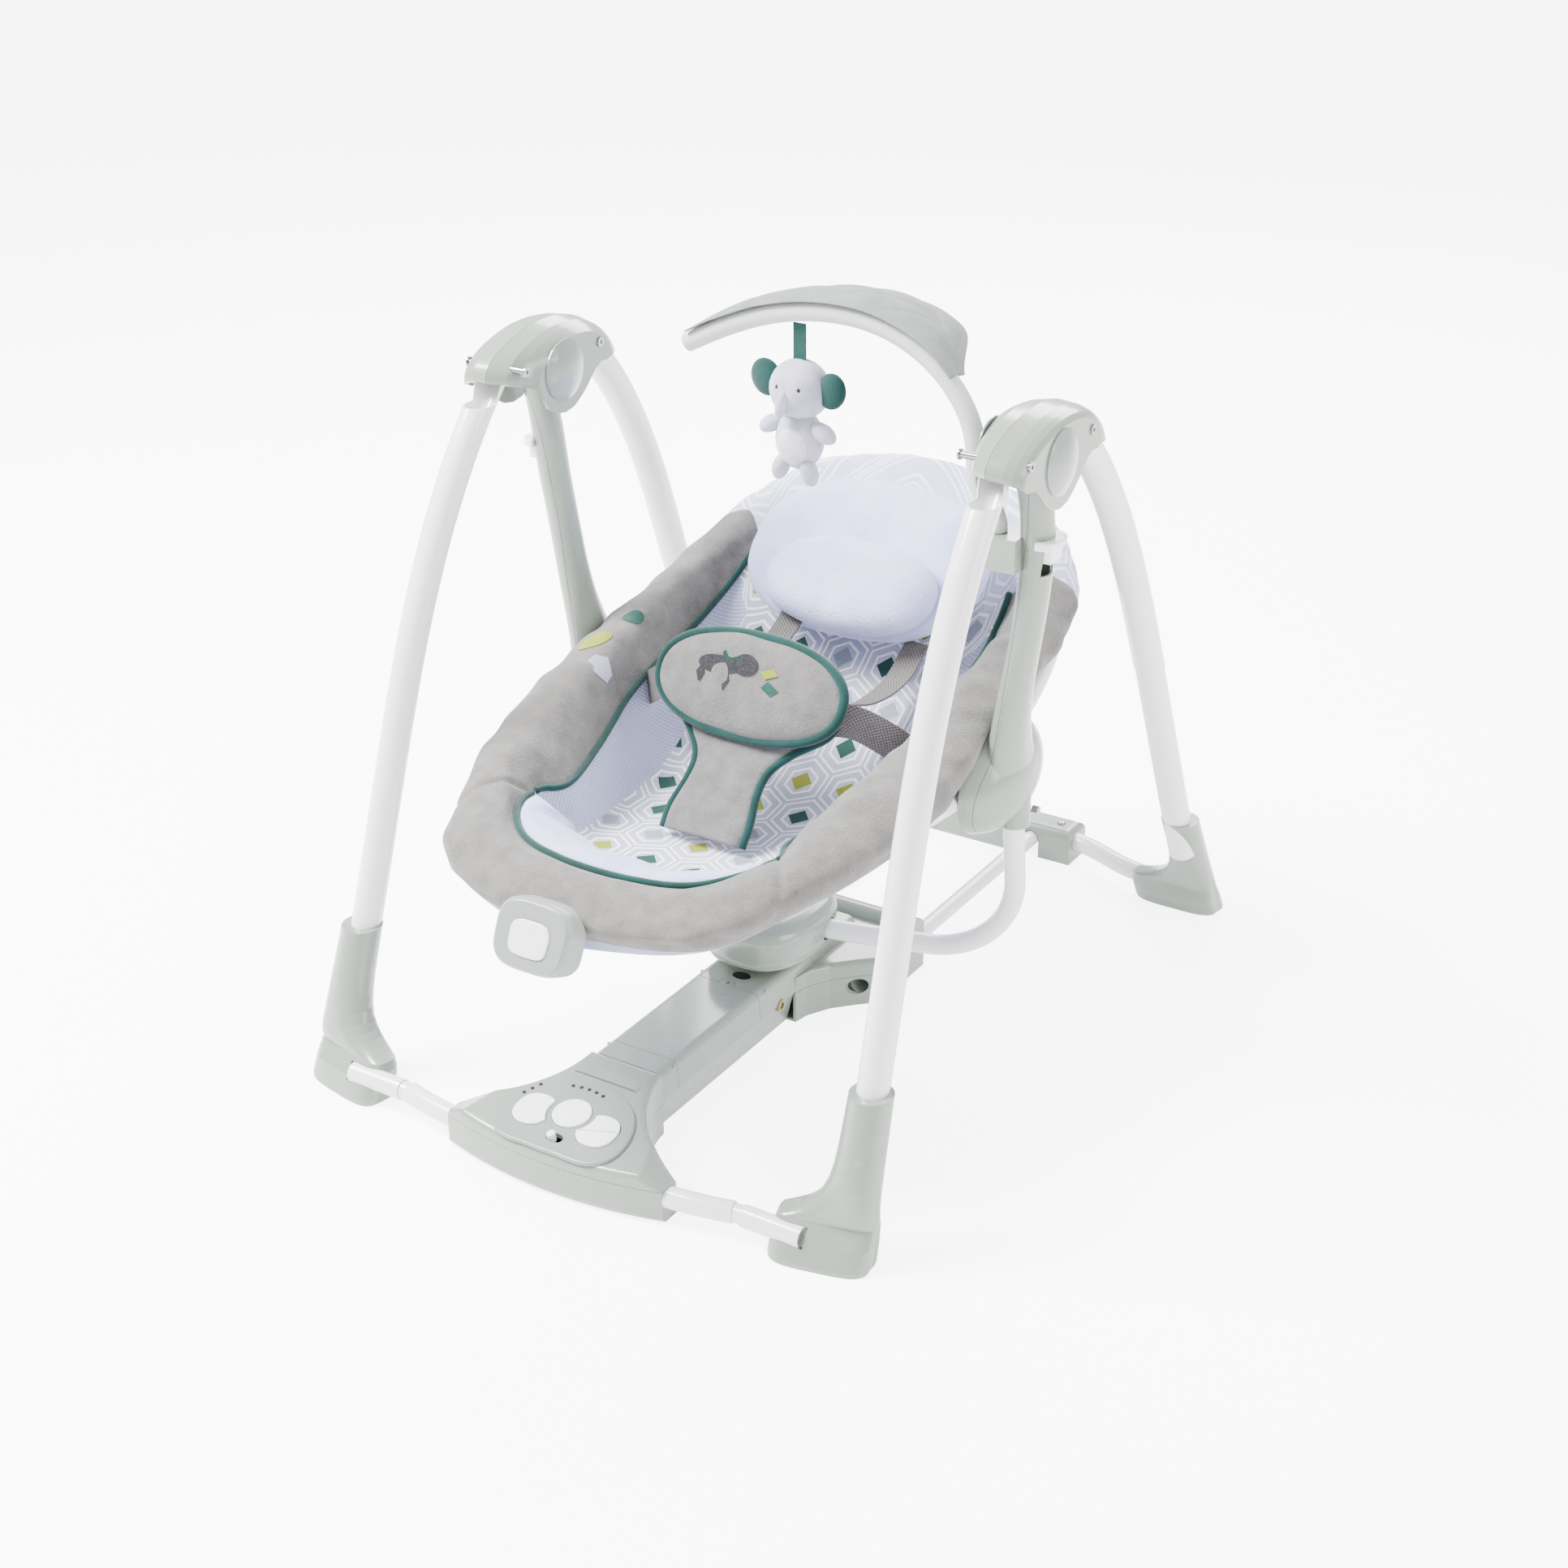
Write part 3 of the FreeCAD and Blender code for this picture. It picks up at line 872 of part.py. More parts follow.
def at_toe(shape):
    """Turn a piece built flat so that it faces forward and up at the toe."""
    shape.rotate(V(0, 0, 0), X_AXIS, 90 - VIB_TILT)
    shape.translate(V(0, VIB_Y - 6, VIB_Z))
    return shape


vibration_unit = at_toe(vibration_unit)
vib_key = at_toe(vib_key)
vibration_unit = solid(vibration_unit.cut(seat_pad).cut(along(front_seat_wire, SEAT_TUBE_D / 2 + PAD_TUBE_ROOM)))

# ---------------------------------------------------------------------- toy bar
bar_points = [(BAR_X, BAR_Y, BAR_SOCKET_Z), (BAR_X - 2.5, BAR_Y, 524), (BAR_X - 10.5, BAR_Y, 538),
              (BAR_X - 18, BAR_Y, 551), (BAR_X - 21.5, BAR_Y, 568), (BAR_X - 24, BAR_Y + 0.5, 586),
              (BAR_X - 40, BAR_Y + 3, 617), (140, BAR_Y + 7, 647), (92, BAR_Y + 10, 664), (40, BAR_Y + 11, 666),
              (-12, BAR_Y + 12, 656), (-58, BAR_Y + 13, 638), (-94, BAR_Y + 13, 620)]
bar_wire = path(bar_points)
bar = along(bar_wire, BAR_R)
post = rod(Z_AXIS, 7.0, (BAR_X, BAR_Y, BAR_SOCKET_Z - 20), 22.0)
toy_bar = solid(bar.fuse(post))
socket = box(BAR_X - 11, BAR_X + 24, BAR_Y - 15, BAR_Y + 15, BAR_SOCKET_Z - 30, BAR_SOCKET_Z - 1)
socket = socket.makeFillet(4.0, [e for e in socket.Edges if e.BoundBox.ZLength > 10 and e.BoundBox.XMax < BAR_X])
socket = socket.cut(limb).cut(rod(Z_AXIS, 7.0 + RUN_FIT, (BAR_X, BAR_Y, BAR_SOCKET_Z - 21), 60.0))
toy_socket = solid(socket)

leaf_line = [(172, 0.20), (162, 0.60), (140, 0.94), (92, 1.0), (40, 0.92), (-12, 0.70), (-58, 0.38), (-92, 0.06)]


def bar_at(x):
    """Point of the toy bar centre line at a place across the swing, and the height of the bar's top over it."""
    edge = bar_wire.Edges[0]
    lo, hi = edge.FirstParameter, edge.LastParameter
    steps = [lo + (hi - lo) * i / 600 for i in range(150, 601)]
    best = min(steps, key=lambda u: abs(edge.valueAt(u).x - x))
    run = edge.tangentAt(best)
    return edge.valueAt(best), (BAR_R + LEAF_GAP) * hypot(1.0, run.z / run.x)


LEAF_GAP = 0.7
LEAF_STEPS = 24


def leaf_section(x, share):
    p, top = bar_at(x)
    depth = LEAF_DEPTH * share + 3
    front, rise = p.y - BAR_R - 1.5, p.z + top
    pts = []
    for i in range(9):
        k = i / 8
        pts.append((front + (depth + 10) * k, rise + 3 * share * sin(pi * k) - 13 * share * max(0.0, k - 0.3)))
    ring = [V(p.x, y, z + LEAF_T) for y, z in pts] + [V(p.x, y, z) for y, z in reversed(pts)]
    return Part.makePolygon(ring + ring[:1])


def share_at(x):
    for (x0, s0), (x1, s1) in zip(leaf_line, leaf_line[1:]):
        if x1 <= x <= x0:
            return s0 + (s1 - s0) * (x0 - x) / (x0 - x1)
    return leaf_line[-1][1]


leaf_first, leaf_last = leaf_line[0][0], leaf_line[-1][0]
leaf_places = [leaf_first + (leaf_last - leaf_first) * i / LEAF_STEPS for i in range(LEAF_STEPS + 1)]
toy_leaf = solid(Part.makeLoft([leaf_section(x, share_at(x)) for x in leaf_places], True, True))

TOY_X, TOY_Y, TOY_Z = 20.0, BAR_Y + 11, 600.0
HEM_Z = 651.7
hang = box(TOY_X - 5, TOY_X + 5, TOY_Y - 1, TOY_Y + 1, TOY_Z + 14, HEM_Z)
hem = rod(X_AXIS, 2.2, (TOY_X - 5, TOY_Y, HEM_Z), 10.0)
toy_head = Part.makeSphere(1.0)
scale = FreeCAD.Matrix()
scale.scale(V(28, 21, 24))
toy_head = toy_head.transformGeometry(scale)
toy_head.translate(V(TOY_X, TOY_Y, TOY_Z - 6))
toy_torso = Part.makeSphere(1.0)
scale = FreeCAD.Matrix()
scale.scale(V(23, 18, 29))
toy_torso = toy_torso.transformGeometry(scale)
toy_torso.translate(V(TOY_X, TOY_Y, TOY_Z - 50))
toy = solid(toy_head.fuse([toy_torso, hang, hem]))

# -------------------------------------------------------------------- the nodes
save("base_lower_shell", base_lower)
save("base_upper_shell", solid(base_upper))
save("battery_door", battery_door)
save("batteries", *cells)
save("drive_electronics", board, coil, core)
save("sensor_window", sensor_window)
save("power_inlet", power_inlet)
save("control_panel", control_panel)
save("indicator_lights", *lights)
save("front_cross_tube", cross_tube)
save("centre_button", middle_key)
save("timer_button", left_key)
save("speed_up_button", upper_key)
save("speed_down_button", lower_key)
save("power_slider", slide_knob)
save("rear_rails", rail, flip(rail, -1))
save("front_stub_tubes", front_stub, flip(front_stub, -1))
save("pivot_caps", *[flip(c, s) for c in (cap_outer, cap_inner) for s in (1, -1)])
save("housing_bolts", *[flip(bolt(y), s) for y in (FRONT_BOLT_Y, REAR_BOLT_Y) for s in (1, -1)])
save("swing_axles", axle, flip(axle, -1))
save("rear_cross_tubes", rear_tube, flip(rear_tube, -1))
save("rear_crossbar", crossbar)
save("rear_legs_lower", rear_leg_lower, flip(rear_leg_lower, -1))
save("swing_tube", swing_tube)
save("pod_shell", pod_shell)
save("pod_underside", solid(lid.fuse(catch)), magnet)
save("indicator_windows", pane, flip(pane, -1))
save("arm_screws", hub_screw, flip(hub_screw, -1))
save("recline_discs", disc(1), disc(-1))
save("seat_frame", *seat_tubes)
save("seat_pad", seat_pad)
save("head_support", head_support)
save("crotch_pad", crotch_pad)
save("harness_straps", *(waist + shoulder))
save("vibration_unit", vibration_unit)
save("vibration_button", vib_key)
save("toy_bar_socket", toy_socket)
save("toy_bar", toy_bar)
save("toy_leaf", toy_leaf)
save("plush_toy", toy)
for name, side in SIDES:
    save("front_foot_" + name, flip(front_foot, side))
    save("front_leg_" + name, flip(front_leg, side))
    save("rear_foot_" + name, flip(rear_foot, side))
    save("rear_leg_upper_" + name, flip(rear_leg_upper, side))
    save("housing_outer_" + name, flip(housing_outer, side))
    save("housing_inner_" + name, flip(housing_inner, side))
    save("crossbar_snap_" + name, flip(snap, side))
    save("arm_outer_" + name, flip(arm_outer, side))
    save("arm_inner_" + name, flip(arm_inner, side))
    save("lock_slider_" + name, flip(lock_slider, side))
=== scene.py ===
"""A baby swing: tube frame, motor base, reclining padded seat, toy bar with a leaf canopy and a plush toy."""

import json
import math

import bmesh
import bpy
import numpy as np
from mathutils import Matrix, Vector


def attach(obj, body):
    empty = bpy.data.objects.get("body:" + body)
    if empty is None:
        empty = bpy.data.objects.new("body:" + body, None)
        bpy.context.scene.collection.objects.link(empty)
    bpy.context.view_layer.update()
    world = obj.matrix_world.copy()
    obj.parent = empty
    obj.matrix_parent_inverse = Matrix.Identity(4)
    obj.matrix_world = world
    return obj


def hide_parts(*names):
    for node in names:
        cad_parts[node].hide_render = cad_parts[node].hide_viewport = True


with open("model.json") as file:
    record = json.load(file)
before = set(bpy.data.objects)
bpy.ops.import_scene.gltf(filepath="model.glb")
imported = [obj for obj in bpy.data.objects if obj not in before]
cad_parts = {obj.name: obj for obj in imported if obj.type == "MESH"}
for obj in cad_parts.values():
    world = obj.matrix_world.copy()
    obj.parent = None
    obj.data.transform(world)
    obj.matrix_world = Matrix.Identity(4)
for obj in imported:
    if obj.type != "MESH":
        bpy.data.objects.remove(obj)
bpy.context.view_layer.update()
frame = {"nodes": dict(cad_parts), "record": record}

# ------------------------------------------------------------------ viewpoint
# One camera looks down on the right front corner of the swing.
VIEW_TURN, VIEW_LIFT, VIEW_ROLL = math.radians(32.17), math.radians(26.04), math.radians(-0.33)
camera = bpy.data.objects.new("camera", bpy.data.cameras.new("camera"))
camera.data.sensor_width = 36.0
camera.data.lens = 57.72
camera.data.clip_end = 60.0
camera.matrix_world = (Matrix.Translation((1.097, -1.683, 1.227)) @ Matrix.Rotation(VIEW_TURN, 4, "Z")
                       @ Matrix.Rotation(math.pi / 2 - VIEW_LIFT, 4, "X") @ Matrix.Rotation(VIEW_ROLL, 4, "Z"))
bpy.context.scene.collection.objects.link(camera)
bpy.context.scene.camera = camera


# ------------------------------------------------------------ floor and lights
# A pale floor that runs off into a pale room, lit by broad soft panels.
DEEPEN = 3.2


def tint(red, green, blue):
    """Screen colour 0..255 as a linear colour, ((c + 0.055) / 1.055) ** 2.4, deepened for the bright room."""
    return tuple(((c / 255 + 0.055) / 1.055) ** (2.4 * DEEPEN) for c in (red, green, blue)) + (1.0,)


def plain_mesh(name, points, faces):
    mesh = bpy.data.meshes.new(name)
    mesh.from_pydata([tuple(p) for p in points], [], [tuple(f) for f in faces])
    mesh.update()
    piece = bpy.data.objects.new(name, mesh)
    bpy.context.scene.collection.objects.link(piece)
    return piece


def new_material(name):
    material = bpy.data.materials.new(name)
    material.use_nodes = True
    return material, material.node_tree, material.node_tree.nodes["Principled BSDF"]


FLOOR_HALF = 14.0
floor = plain_mesh("floor", [(-FLOOR_HALF, -FLOOR_HALF, 0), (FLOOR_HALF, -FLOOR_HALF, 0),
                             (FLOOR_HALF, FLOOR_HALF, 0), (-FLOOR_HALF, FLOOR_HALF, 0)], [(0, 1, 2, 3)])
floor_material, floor_tree, shader = new_material("floor_paper")
shader.inputs["Base Color"].default_value = (0.93, 0.93, 0.93, 1.0)
shader.inputs["Roughness"].default_value = 0.55
shader.inputs["Emission Color"].default_value = (1.0, 1.0, 1.0, 1.0)
seen = floor_tree.nodes.new("ShaderNodeLightPath")
glow = floor_tree.nodes.new("ShaderNodeMapRange")
glow.inputs["To Min"].default_value = 0.8
glow.inputs["To Max"].default_value = 5.5
floor_tree.links.new(seen.outputs["Is Camera Ray"], glow.inputs["Value"])
floor_tree.links.new(glow.outputs["Result"], shader.inputs["Emission Strength"])
floor.data.materials.append(floor_material)

world = bpy.data.worlds.new("room")
world.use_nodes = True
world.node_tree.nodes["Background"].inputs[0].default_value = (1.0, 1.0, 1.0, 1.0)
world.node_tree.nodes["Background"].inputs[1].default_value = 1.5
bpy.context.scene.world = world


def light_panel(name, place, aim, wide, high, power):
    lamp = bpy.data.lights.new(name, "AREA")
    lamp.shape = "RECTANGLE"
    lamp.size, lamp.size_y, lamp.energy = wide, high, power
    holder = bpy.data.objects.new(name, lamp)
    holder.location = place
    holder.rotation_euler = (Vector(aim) - Vector(place)).to_track_quat("-Z", "Y").to_euler()
    bpy.context.scene.collection.objects.link(holder)


light_panel("key_light", (-1.6, -0.8, 2.6), (0, 0, 0.3), 1.3, 1.3, 420)
light_panel("side_light", (2.6, 0.4, 1.5), (0, 0, 0.4), 1.6, 1.6, 70)
light_panel("back_light", (-0.6, 2.6, 2.0), (0, 0, 0.4), 2.4, 1.2, 130)


# ---------------------------------------------------------- hard part finishes
# Moulded and painted parts keep their shape and get a finish with fine unevenness.
def link_noise(tree, scale, detail=3.0, rough=0.5):
    place = tree.nodes.new("ShaderNodeTexCoord")
    noise = tree.nodes.new("ShaderNodeTexNoise")
    noise.inputs["Scale"].default_value = scale
    noise.inputs["Detail"].default_value = detail
    noise.inputs["Roughness"].default_value = rough
    tree.links.new(place.outputs["Object"], noise.inputs["Vector"])
    return noise


def link_range(tree, source, low, high, low_in=0.3, high_in=0.7):
    span = tree.nodes.new("ShaderNodeMapRange")
    span.inputs["From Min"].default_value = low_in
    span.inputs["From Max"].default_value = high_in
    span.inputs["To Min"].default_value = low
    span.inputs["To Max"].default_value = high
    tree.links.new(source, span.inputs["Value"])
    return span.outputs["Result"]


def link_bump(tree, shader, height, depth, strength=0.5):
    bump = tree.nodes.new("ShaderNodeBump")
    bump.inputs["Distance"].default_value = depth
    bump.inputs["Strength"].default_value = strength
    tree.links.new(height, bump.inputs["Height"])
    tree.links.new(bump.outputs["Normal"], shader.inputs["Normal"])
    return bump


def moulded(name, colour, rough, coat=0.0, grain=900.0, depth=0.00004, metal=0.0):
    """Hard finish: one colour, roughness that drifts a little, and a fine grain."""
    material, tree, shader = new_material(name)
    shader.inputs["Base Color"].default_value = colour
    shader.inputs["Metallic"].default_value = metal
    shader.inputs["Coat Weight"].default_value = coat
    shader.inputs["Coat Roughness"].default_value = 0.12
    drift = link_noise(tree, 22.0)
    tree.links.new(link_range(tree, drift.outputs["Fac"], rough * 0.85, rough * 1.2), shader.inputs["Roughness"])
    fine = link_noise(tree, grain, 2.0)
    link_bump(tree, shader, fine.outputs["Fac"], depth, 0.4)
    return material


HARD = {
    "tube_white": moulded("white_paint", tint(248, 248, 248), 0.18, 0.6, 260.0, 0.00003),
    "shell_grey": moulded("grey_shell", tint(207, 211, 206), 0.24, 0.5),
    "shell_under": moulded("grey_under", tint(207, 211, 206), 0.26, 0.45),
    "cap_grey": moulded("grey_cap", tint(208, 211, 209), 0.16, 0.6),
    "panel_white": moulded("grey_panel", tint(206, 209, 206), 0.32, 0.2),
    "key_teal": moulded("white_key", tint(250, 251, 250), 0.25, 0.3),
    "key_green": moulded("white_pair_key", tint(250, 251, 250), 0.25, 0.3),
    "knob_grey": moulded("white_knob", tint(250, 251, 250), 0.25, 0.3),
    "light_red": moulded("dark_lens", tint(120, 118, 118), 0.2, 0.6),
    "window_dark": moulded("dark_window", tint(110, 112, 116), 0.12, 0.8),
    "inlet_beige": moulded("beige_inlet", tint(214, 208, 186), 0.4),
    "bolt_steel": moulded("bright_steel", tint(222, 222, 222), 0.18, 0.0, 700.0, 0.00003, 1.0),
    "cell_case": moulded("cell_jacket", tint(130, 130, 134), 0.35),
    "board_green": moulded("circuit_board", tint(70, 150, 110), 0.5),
    "slider_white": moulded("white_slider", tint(250, 251, 250), 0.3, 0.2),
    "vib_grey": moulded("grey_unit", tint(212, 215, 213), 0.35, 0.15),
    "vib_key": moulded("white_unit_key", tint(250, 251, 250), 0.3, 0.2),
    "red_window": moulded("red_window", tint(225, 20, 30), 0.15, 0.8),
    "bar_fabric": moulded("bar_sleeve", tint(232, 234, 232), 0.75, 0.0, 1500.0, 0.0003),
}
slot_of = {}
for entry in frame["record"]["materials"]:
    for node in entry.get("nodes", []):
        slot_of[node] = entry["slot"]
for name, piece in frame["nodes"].items():
    for index, old in enumerate(piece.data.materials):
        slot = old.name.split(".")[0] if old else slot_of.get(name, "")
        if slot in HARD:
            piece.data.materials[index] = HARD[slot]
for index in range(len(frame["nodes"]["indicator_windows"].data.materials)):
    frame["nodes"]["indicator_windows"].data.materials[index] = HARD["red_window"]
for name in ("speed_up_button", "speed_down_button"):
    frame["nodes"][name].data.materials[0] = HARD["key_green"]


# ------------------------------------------------------------------ cloth finishes
# Velour, plush, webbing, mesh and the printed cover, all woven from noise.
def cloth(name, colour, second, nap_scale, nap_depth, patch_scale=28.0, sheen=0.25, rough=0.92):
    """Napped cloth: two close colours in soft patches, a fine nap and a light sheen."""
    material, tree, shader = new_material(name)
    patch = link_noise(tree, patch_scale, 4.0, 0.6)
    mix = tree.nodes.new("ShaderNodeMix")
    mix.data_type = "RGBA"
    mix.inputs["A"].default_value = colour
    mix.inputs["B"].default_value = second
    tree.links.new(link_range(tree, patch.outputs["Fac"], 0.0, 1.0), mix.inputs["Factor"])
    tree.links.new(mix.outputs["Result"], shader.inputs["Base Color"])
    shader.inputs["Roughness"].default_value = rough
    shader.inputs["Sheen Weight"].default_value = sheen
    shader.inputs["Specular IOR Level"].default_value = 0.2
    nap = link_noise(tree, nap_scale, 4.0, 0.65)
    link_bump(tree, shader, nap.outputs["Fac"], nap_depth, 0.7)
    return material


def woven(name, colour, second, pitch):
    """Ribbed webbing: height = sin(2 pi u / pitch) * sin(2 pi v / pitch) over the piece's own layout."""
    material, tree, shader = new_material(name)
    layout = tree.nodes.new("ShaderNodeUVMap")
    layout.uv_map = "layout"
    split = tree.nodes.new("ShaderNodeSeparateXYZ")
    tree.links.new(layout.outputs["UV"], split.inputs[0])
    waves = []
    for axis in ("X", "Y"):
        turn = tree.nodes.new("ShaderNodeMath")
        turn.operation = "MULTIPLY"
        turn.inputs[1].default_value = 2 * math.pi / pitch
        wave = tree.nodes.new("ShaderNodeMath")
        wave.operation = "SINE"
        tree.links.new(split.outputs[axis], turn.inputs[0])
        tree.links.new(turn.outputs[0], wave.inputs[0])
        waves.append(wave)
    cross = tree.nodes.new("ShaderNodeMath")
    cross.operation = "MULTIPLY"
    tree.links.new(waves[0].outputs[0], cross.inputs[0])
    tree.links.new(waves[1].outputs[0], cross.inputs[1])
    mix = tree.nodes.new("ShaderNodeMix")
    mix.data_type = "RGBA"
    mix.inputs["A"].default_value = colour
    mix.inputs["B"].default_value = second
    tree.links.new(link_range(tree, cross.outputs[0], 0.0, 1.0, -0.6, 0.6), mix.inputs["Factor"])
    tree.links.new(mix.outputs["Result"], shader.inputs["Base Color"])
    shader.inputs["Roughness"].default_value = 0.85
    link_bump(tree, shader, cross.outputs[0], 0.0005, 0.8)
    return material


CELL_W, CELL_H = 0.047, 0.060


def printed(name, ground, ground_low, line, lozenges=1.0):
    """Printed cover: rows of nested six-sided rings, each round a small coloured lozenge.

    In one cell x and y run from its middle; ring distance = max(2|x|/w, |x|/w + 2|y|/h).
    """
    material, tree, shader = new_material(name)
    layout = tree.nodes.new("ShaderNodeUVMap")
    layout.uv_map = "layout"
    split = tree.nodes.new("ShaderNodeSeparateXYZ")
    tree.links.new(layout.outputs["UV"], split.inputs[0])

    def calc(operation, *values):
        node = tree.nodes.new("ShaderNodeMath")
        node.operation = operation
        for socket, value in zip(node.inputs, values):
            if isinstance(value, (int, float)):
                socket.default_value = value
            else:
                tree.links.new(value, socket)
        return node.outputs[0]

    def band(value, low, high):
        return calc("MULTIPLY", calc("GREATER_THAN", value, low), calc("LESS_THAN", value, high))

    rings, gems, picks = [], [], []
    for shift_x, shift_y in ((0.0, 0.0), (0.5, 0.5)):
        u = calc("ADD", calc("DIVIDE", split.outputs["X"], CELL_W), 0.5 + shift_x)
        v = calc("ADD", calc("DIVIDE", split.outputs["Y"], 1.5 * CELL_H), 0.5 + shift_y)
        x = calc("ABSOLUTE", calc("SUBTRACT", calc("FRACT", u), 0.5))
        y = calc("MULTIPLY", calc("ABSOLUTE", calc("SUBTRACT", calc("FRACT", v), 0.5)), 3.0)
        rings.append(calc("MAXIMUM", calc("MULTIPLY", x, 2.0), calc("ADD", x, y)))
        gems.append(calc("ADD", calc("MULTIPLY", x, 4.4), calc("MULTIPLY", y, 2.6)))
        spot = tree.nodes.new("ShaderNodeCombineXYZ")
        tree.links.new(calc("FLOOR", u), spot.inputs[0])
        tree.links.new(calc("FLOOR", v), spot.inputs[1])
        spot.inputs[2].default_value = shift_x
        pick = tree.nodes.new("ShaderNodeTexWhiteNoise")
        tree.links.new(spot.outputs[0], pick.inputs["Vector"])
        picks.append(pick.outputs["Value"])
    nearer = calc("LESS_THAN", rings[0], rings[1])
    ring = calc("MINIMUM", rings[0], rings[1])
    gem = calc("MINIMUM", gems[0], gems[1])
    pick = calc("ADD", calc("MULTIPLY", nearer, picks[0]), calc("MULTIPLY", calc("SUBTRACT", 1.0, nearer), picks[1]))
    lines = calc("MAXIMUM", band(ring, 0.84, 0.93), band(ring, 0.50, 0.60))
    lozenge = calc("MULTIPLY", calc("LESS_THAN", gem, 1.0), lozenges)

    def layered(below, above, mask):
        mix = tree.nodes.new("ShaderNodeMix")
        mix.data_type = "RGBA"
        for socket, value in (("A", below), ("B", above)):
            if isinstance(value, tuple):
                mix.inputs[socket].default_value = value
            else:
                tree.links.new(value, mix.inputs[socket])
        tree.links.new(mask, mix.inputs["Factor"])
        return mix.outputs["Result"]

    wash = link_noise(tree, 9.0, 2.0)
    base = layered(ground, ground_low, link_range(tree, wash.outputs["Fac"], 0.0, 1.0))
    base = layered(base, line, lines)
    gem_colour = layered(tint(118, 168, 162), tint(208, 211, 150), band(pick, 0.35, 0.6))
    gem_colour = layered(gem_colour, tint(210, 213, 220), band(pick, 0.6, 1.1))
    base = layered(base, gem_colour, lozenge)
    tree.links.new(base, shader.inputs["Base Color"])
    shader.inputs["Roughness"].default_value = 0.85
    weave = link_noise(tree, 900.0, 3.0)
    link_bump(tree, shader, weave.outputs["Fac"], 0.0003, 0.5)
    return material


VELOUR = cloth("grey_velour", tint(203, 202, 201), tint(193, 192, 191), 420.0, 0.0024, 60.0)
PLUSH = cloth("white_plush", tint(240, 242, 254), tint(231, 233, 250), 380.0, 0.0028, 20.0, 0.35)
TEAL = cloth("teal_binding", tint(120, 167, 164), tint(102, 154, 151), 900.0, 0.0003)
LINING = cloth("pale_lining", tint(222, 223, 234), tint(212, 214, 226), 700.0, 0.0004)
MESH = woven("side_mesh", tint(236, 237, 246), tint(220, 222, 234), 0.0042)
WEBBING = woven("grey_webbing", tint(204, 201, 201), tint(180, 177, 177), 0.0036)
PRINT = printed("printed_cover", tint(232, 233, 239), tint(224, 225, 233), tint(252, 252, 254))
HEAD_PRINT = printed("printed_head_cover", tint(234, 235, 244), tint(228, 229, 240), tint(246, 247, 251), 0.0)


# ------------------------------------------------------------------- seat cushion
# A padded bucket hung on the seat tubes: velour rolls at the sides and toe, a printed
# band round the head, mesh side walls and a printed floor, closed below by a pale lining.
def flow(rows, count, before, after):
    """Even Catmull-Rom curve through rows, with one ghost row at each end:
    p = (2b + (c - a) t + (2a - 5b + 4c - d) t^2 + (3b - a - 3c + d) t^3) / 2."""
    rows = np.concatenate([before[None], rows, after[None]])
    spans = len(rows) - 3
    place = np.linspace(0, spans, count)
    i = np.minimum(place.astype(int), spans - 1)
    t = (place - i).reshape((-1,) + (1,) * (rows.ndim - 1))
    a, b, c, d = rows[i], rows[i + 1], rows[i + 2], rows[i + 3]
    return (2 * b + (c - a) * t + (2 * a - 5 * b + 4 * c - d) * t ** 2 + (3 * b - a - 3 * c + d) * t ** 3) / 2


# From toe to head, in mm: wall foot, bound inner edge, crest, widest edge, lower edge, and the drop below.
SEAT_STATIONS = [
    [(0, -168, 228), (0, -232, 262), (0, -252, 268), (0, -290, 250), (0, -284, 232), 12],
    [(54, -162, 228), (76, -219, 263), (84, -240, 271), (90, -280, 253), (86, -272, 234), 14],
    [(88, -146, 227), (116, -184, 268), (128, -205, 279), (141, -248, 261), (134, -242, 237), 22],
    [(98, -122, 225), (124, -142, 268), (146, -162, 289), (170, -190, 274), (162, -186, 247), 34],
    [(98, -98, 224), (114, -112, 264), (152, -118, 303), (194, -122, 286), (184, -120, 255), 50],
    [(104, -52, 222), (126, -50, 273), (160, -48, 319), (211, -45, 302), (196, -46, 264), 64],
    [(108, 12, 226), (139, 22, 296), (165, 24, 334), (210, 25, 316), (192, 25, 280), 78],
    [(112, 66, 244), (143, 84, 310), (166, 86, 350), (207, 88, 336), (186, 88, 312), 92],
    [(114, 118, 280), (142, 138, 325), (166, 144, 362), (205, 150, 346), (182, 150, 318), 82],
    [(114, 170, 318), (140, 194, 347), (164, 202, 376), (203, 210, 358), (182, 208, 324), 58],
    [(106, 214, 358), (132, 240, 378), (154, 254, 402), (192, 264, 380), (172, 258, 344), 44],
    [(82, 242, 388), (104, 268, 408), (120, 290, 433), (152, 306, 410), (134, 298, 378), 30],
    [(46, 258, 406), (60, 286, 428), (68, 312, 451), (86, 332, 430), (76, 324, 400), 20],
    [(0, 262, 412), (0, 292, 436), (0, 318, 457), (0, 340, 438), (0, 332, 406), 18]]
LAST_STATION = len(SEAT_STATIONS) - 1
FLOOR_SAG, RING_STOPS = 6.0, 8
FOOT, EDGE, CREST, WIDEST, HEM = 2, 3, 4, 5, 6


def seat_rings():
    """Right half of each ring, from the middle of the floor out over the rim to the middle of the underside."""
    rings = []
    for foot, edge, crest, widest, hem, drop in SEAT_STATIONS:
        sag = FLOOR_SAG * min(1.0, foot[0] / 90.0)
        ring = [(0, foot[1], foot[2] - sag), (foot[0] * 0.55, foot[1], foot[2] - sag * 0.8), foot, edge, crest, widest,
                hem, (hem[0] * 0.62, hem[1], hem[2] - drop * 0.85), (0, hem[1], hem[2] - drop)]
        rings.append(ring)
    return np.array(rings, float) / 1000.0


MIRROR = np.array([-1.0, 1.0, 1.0])
RINGS = seat_rings()


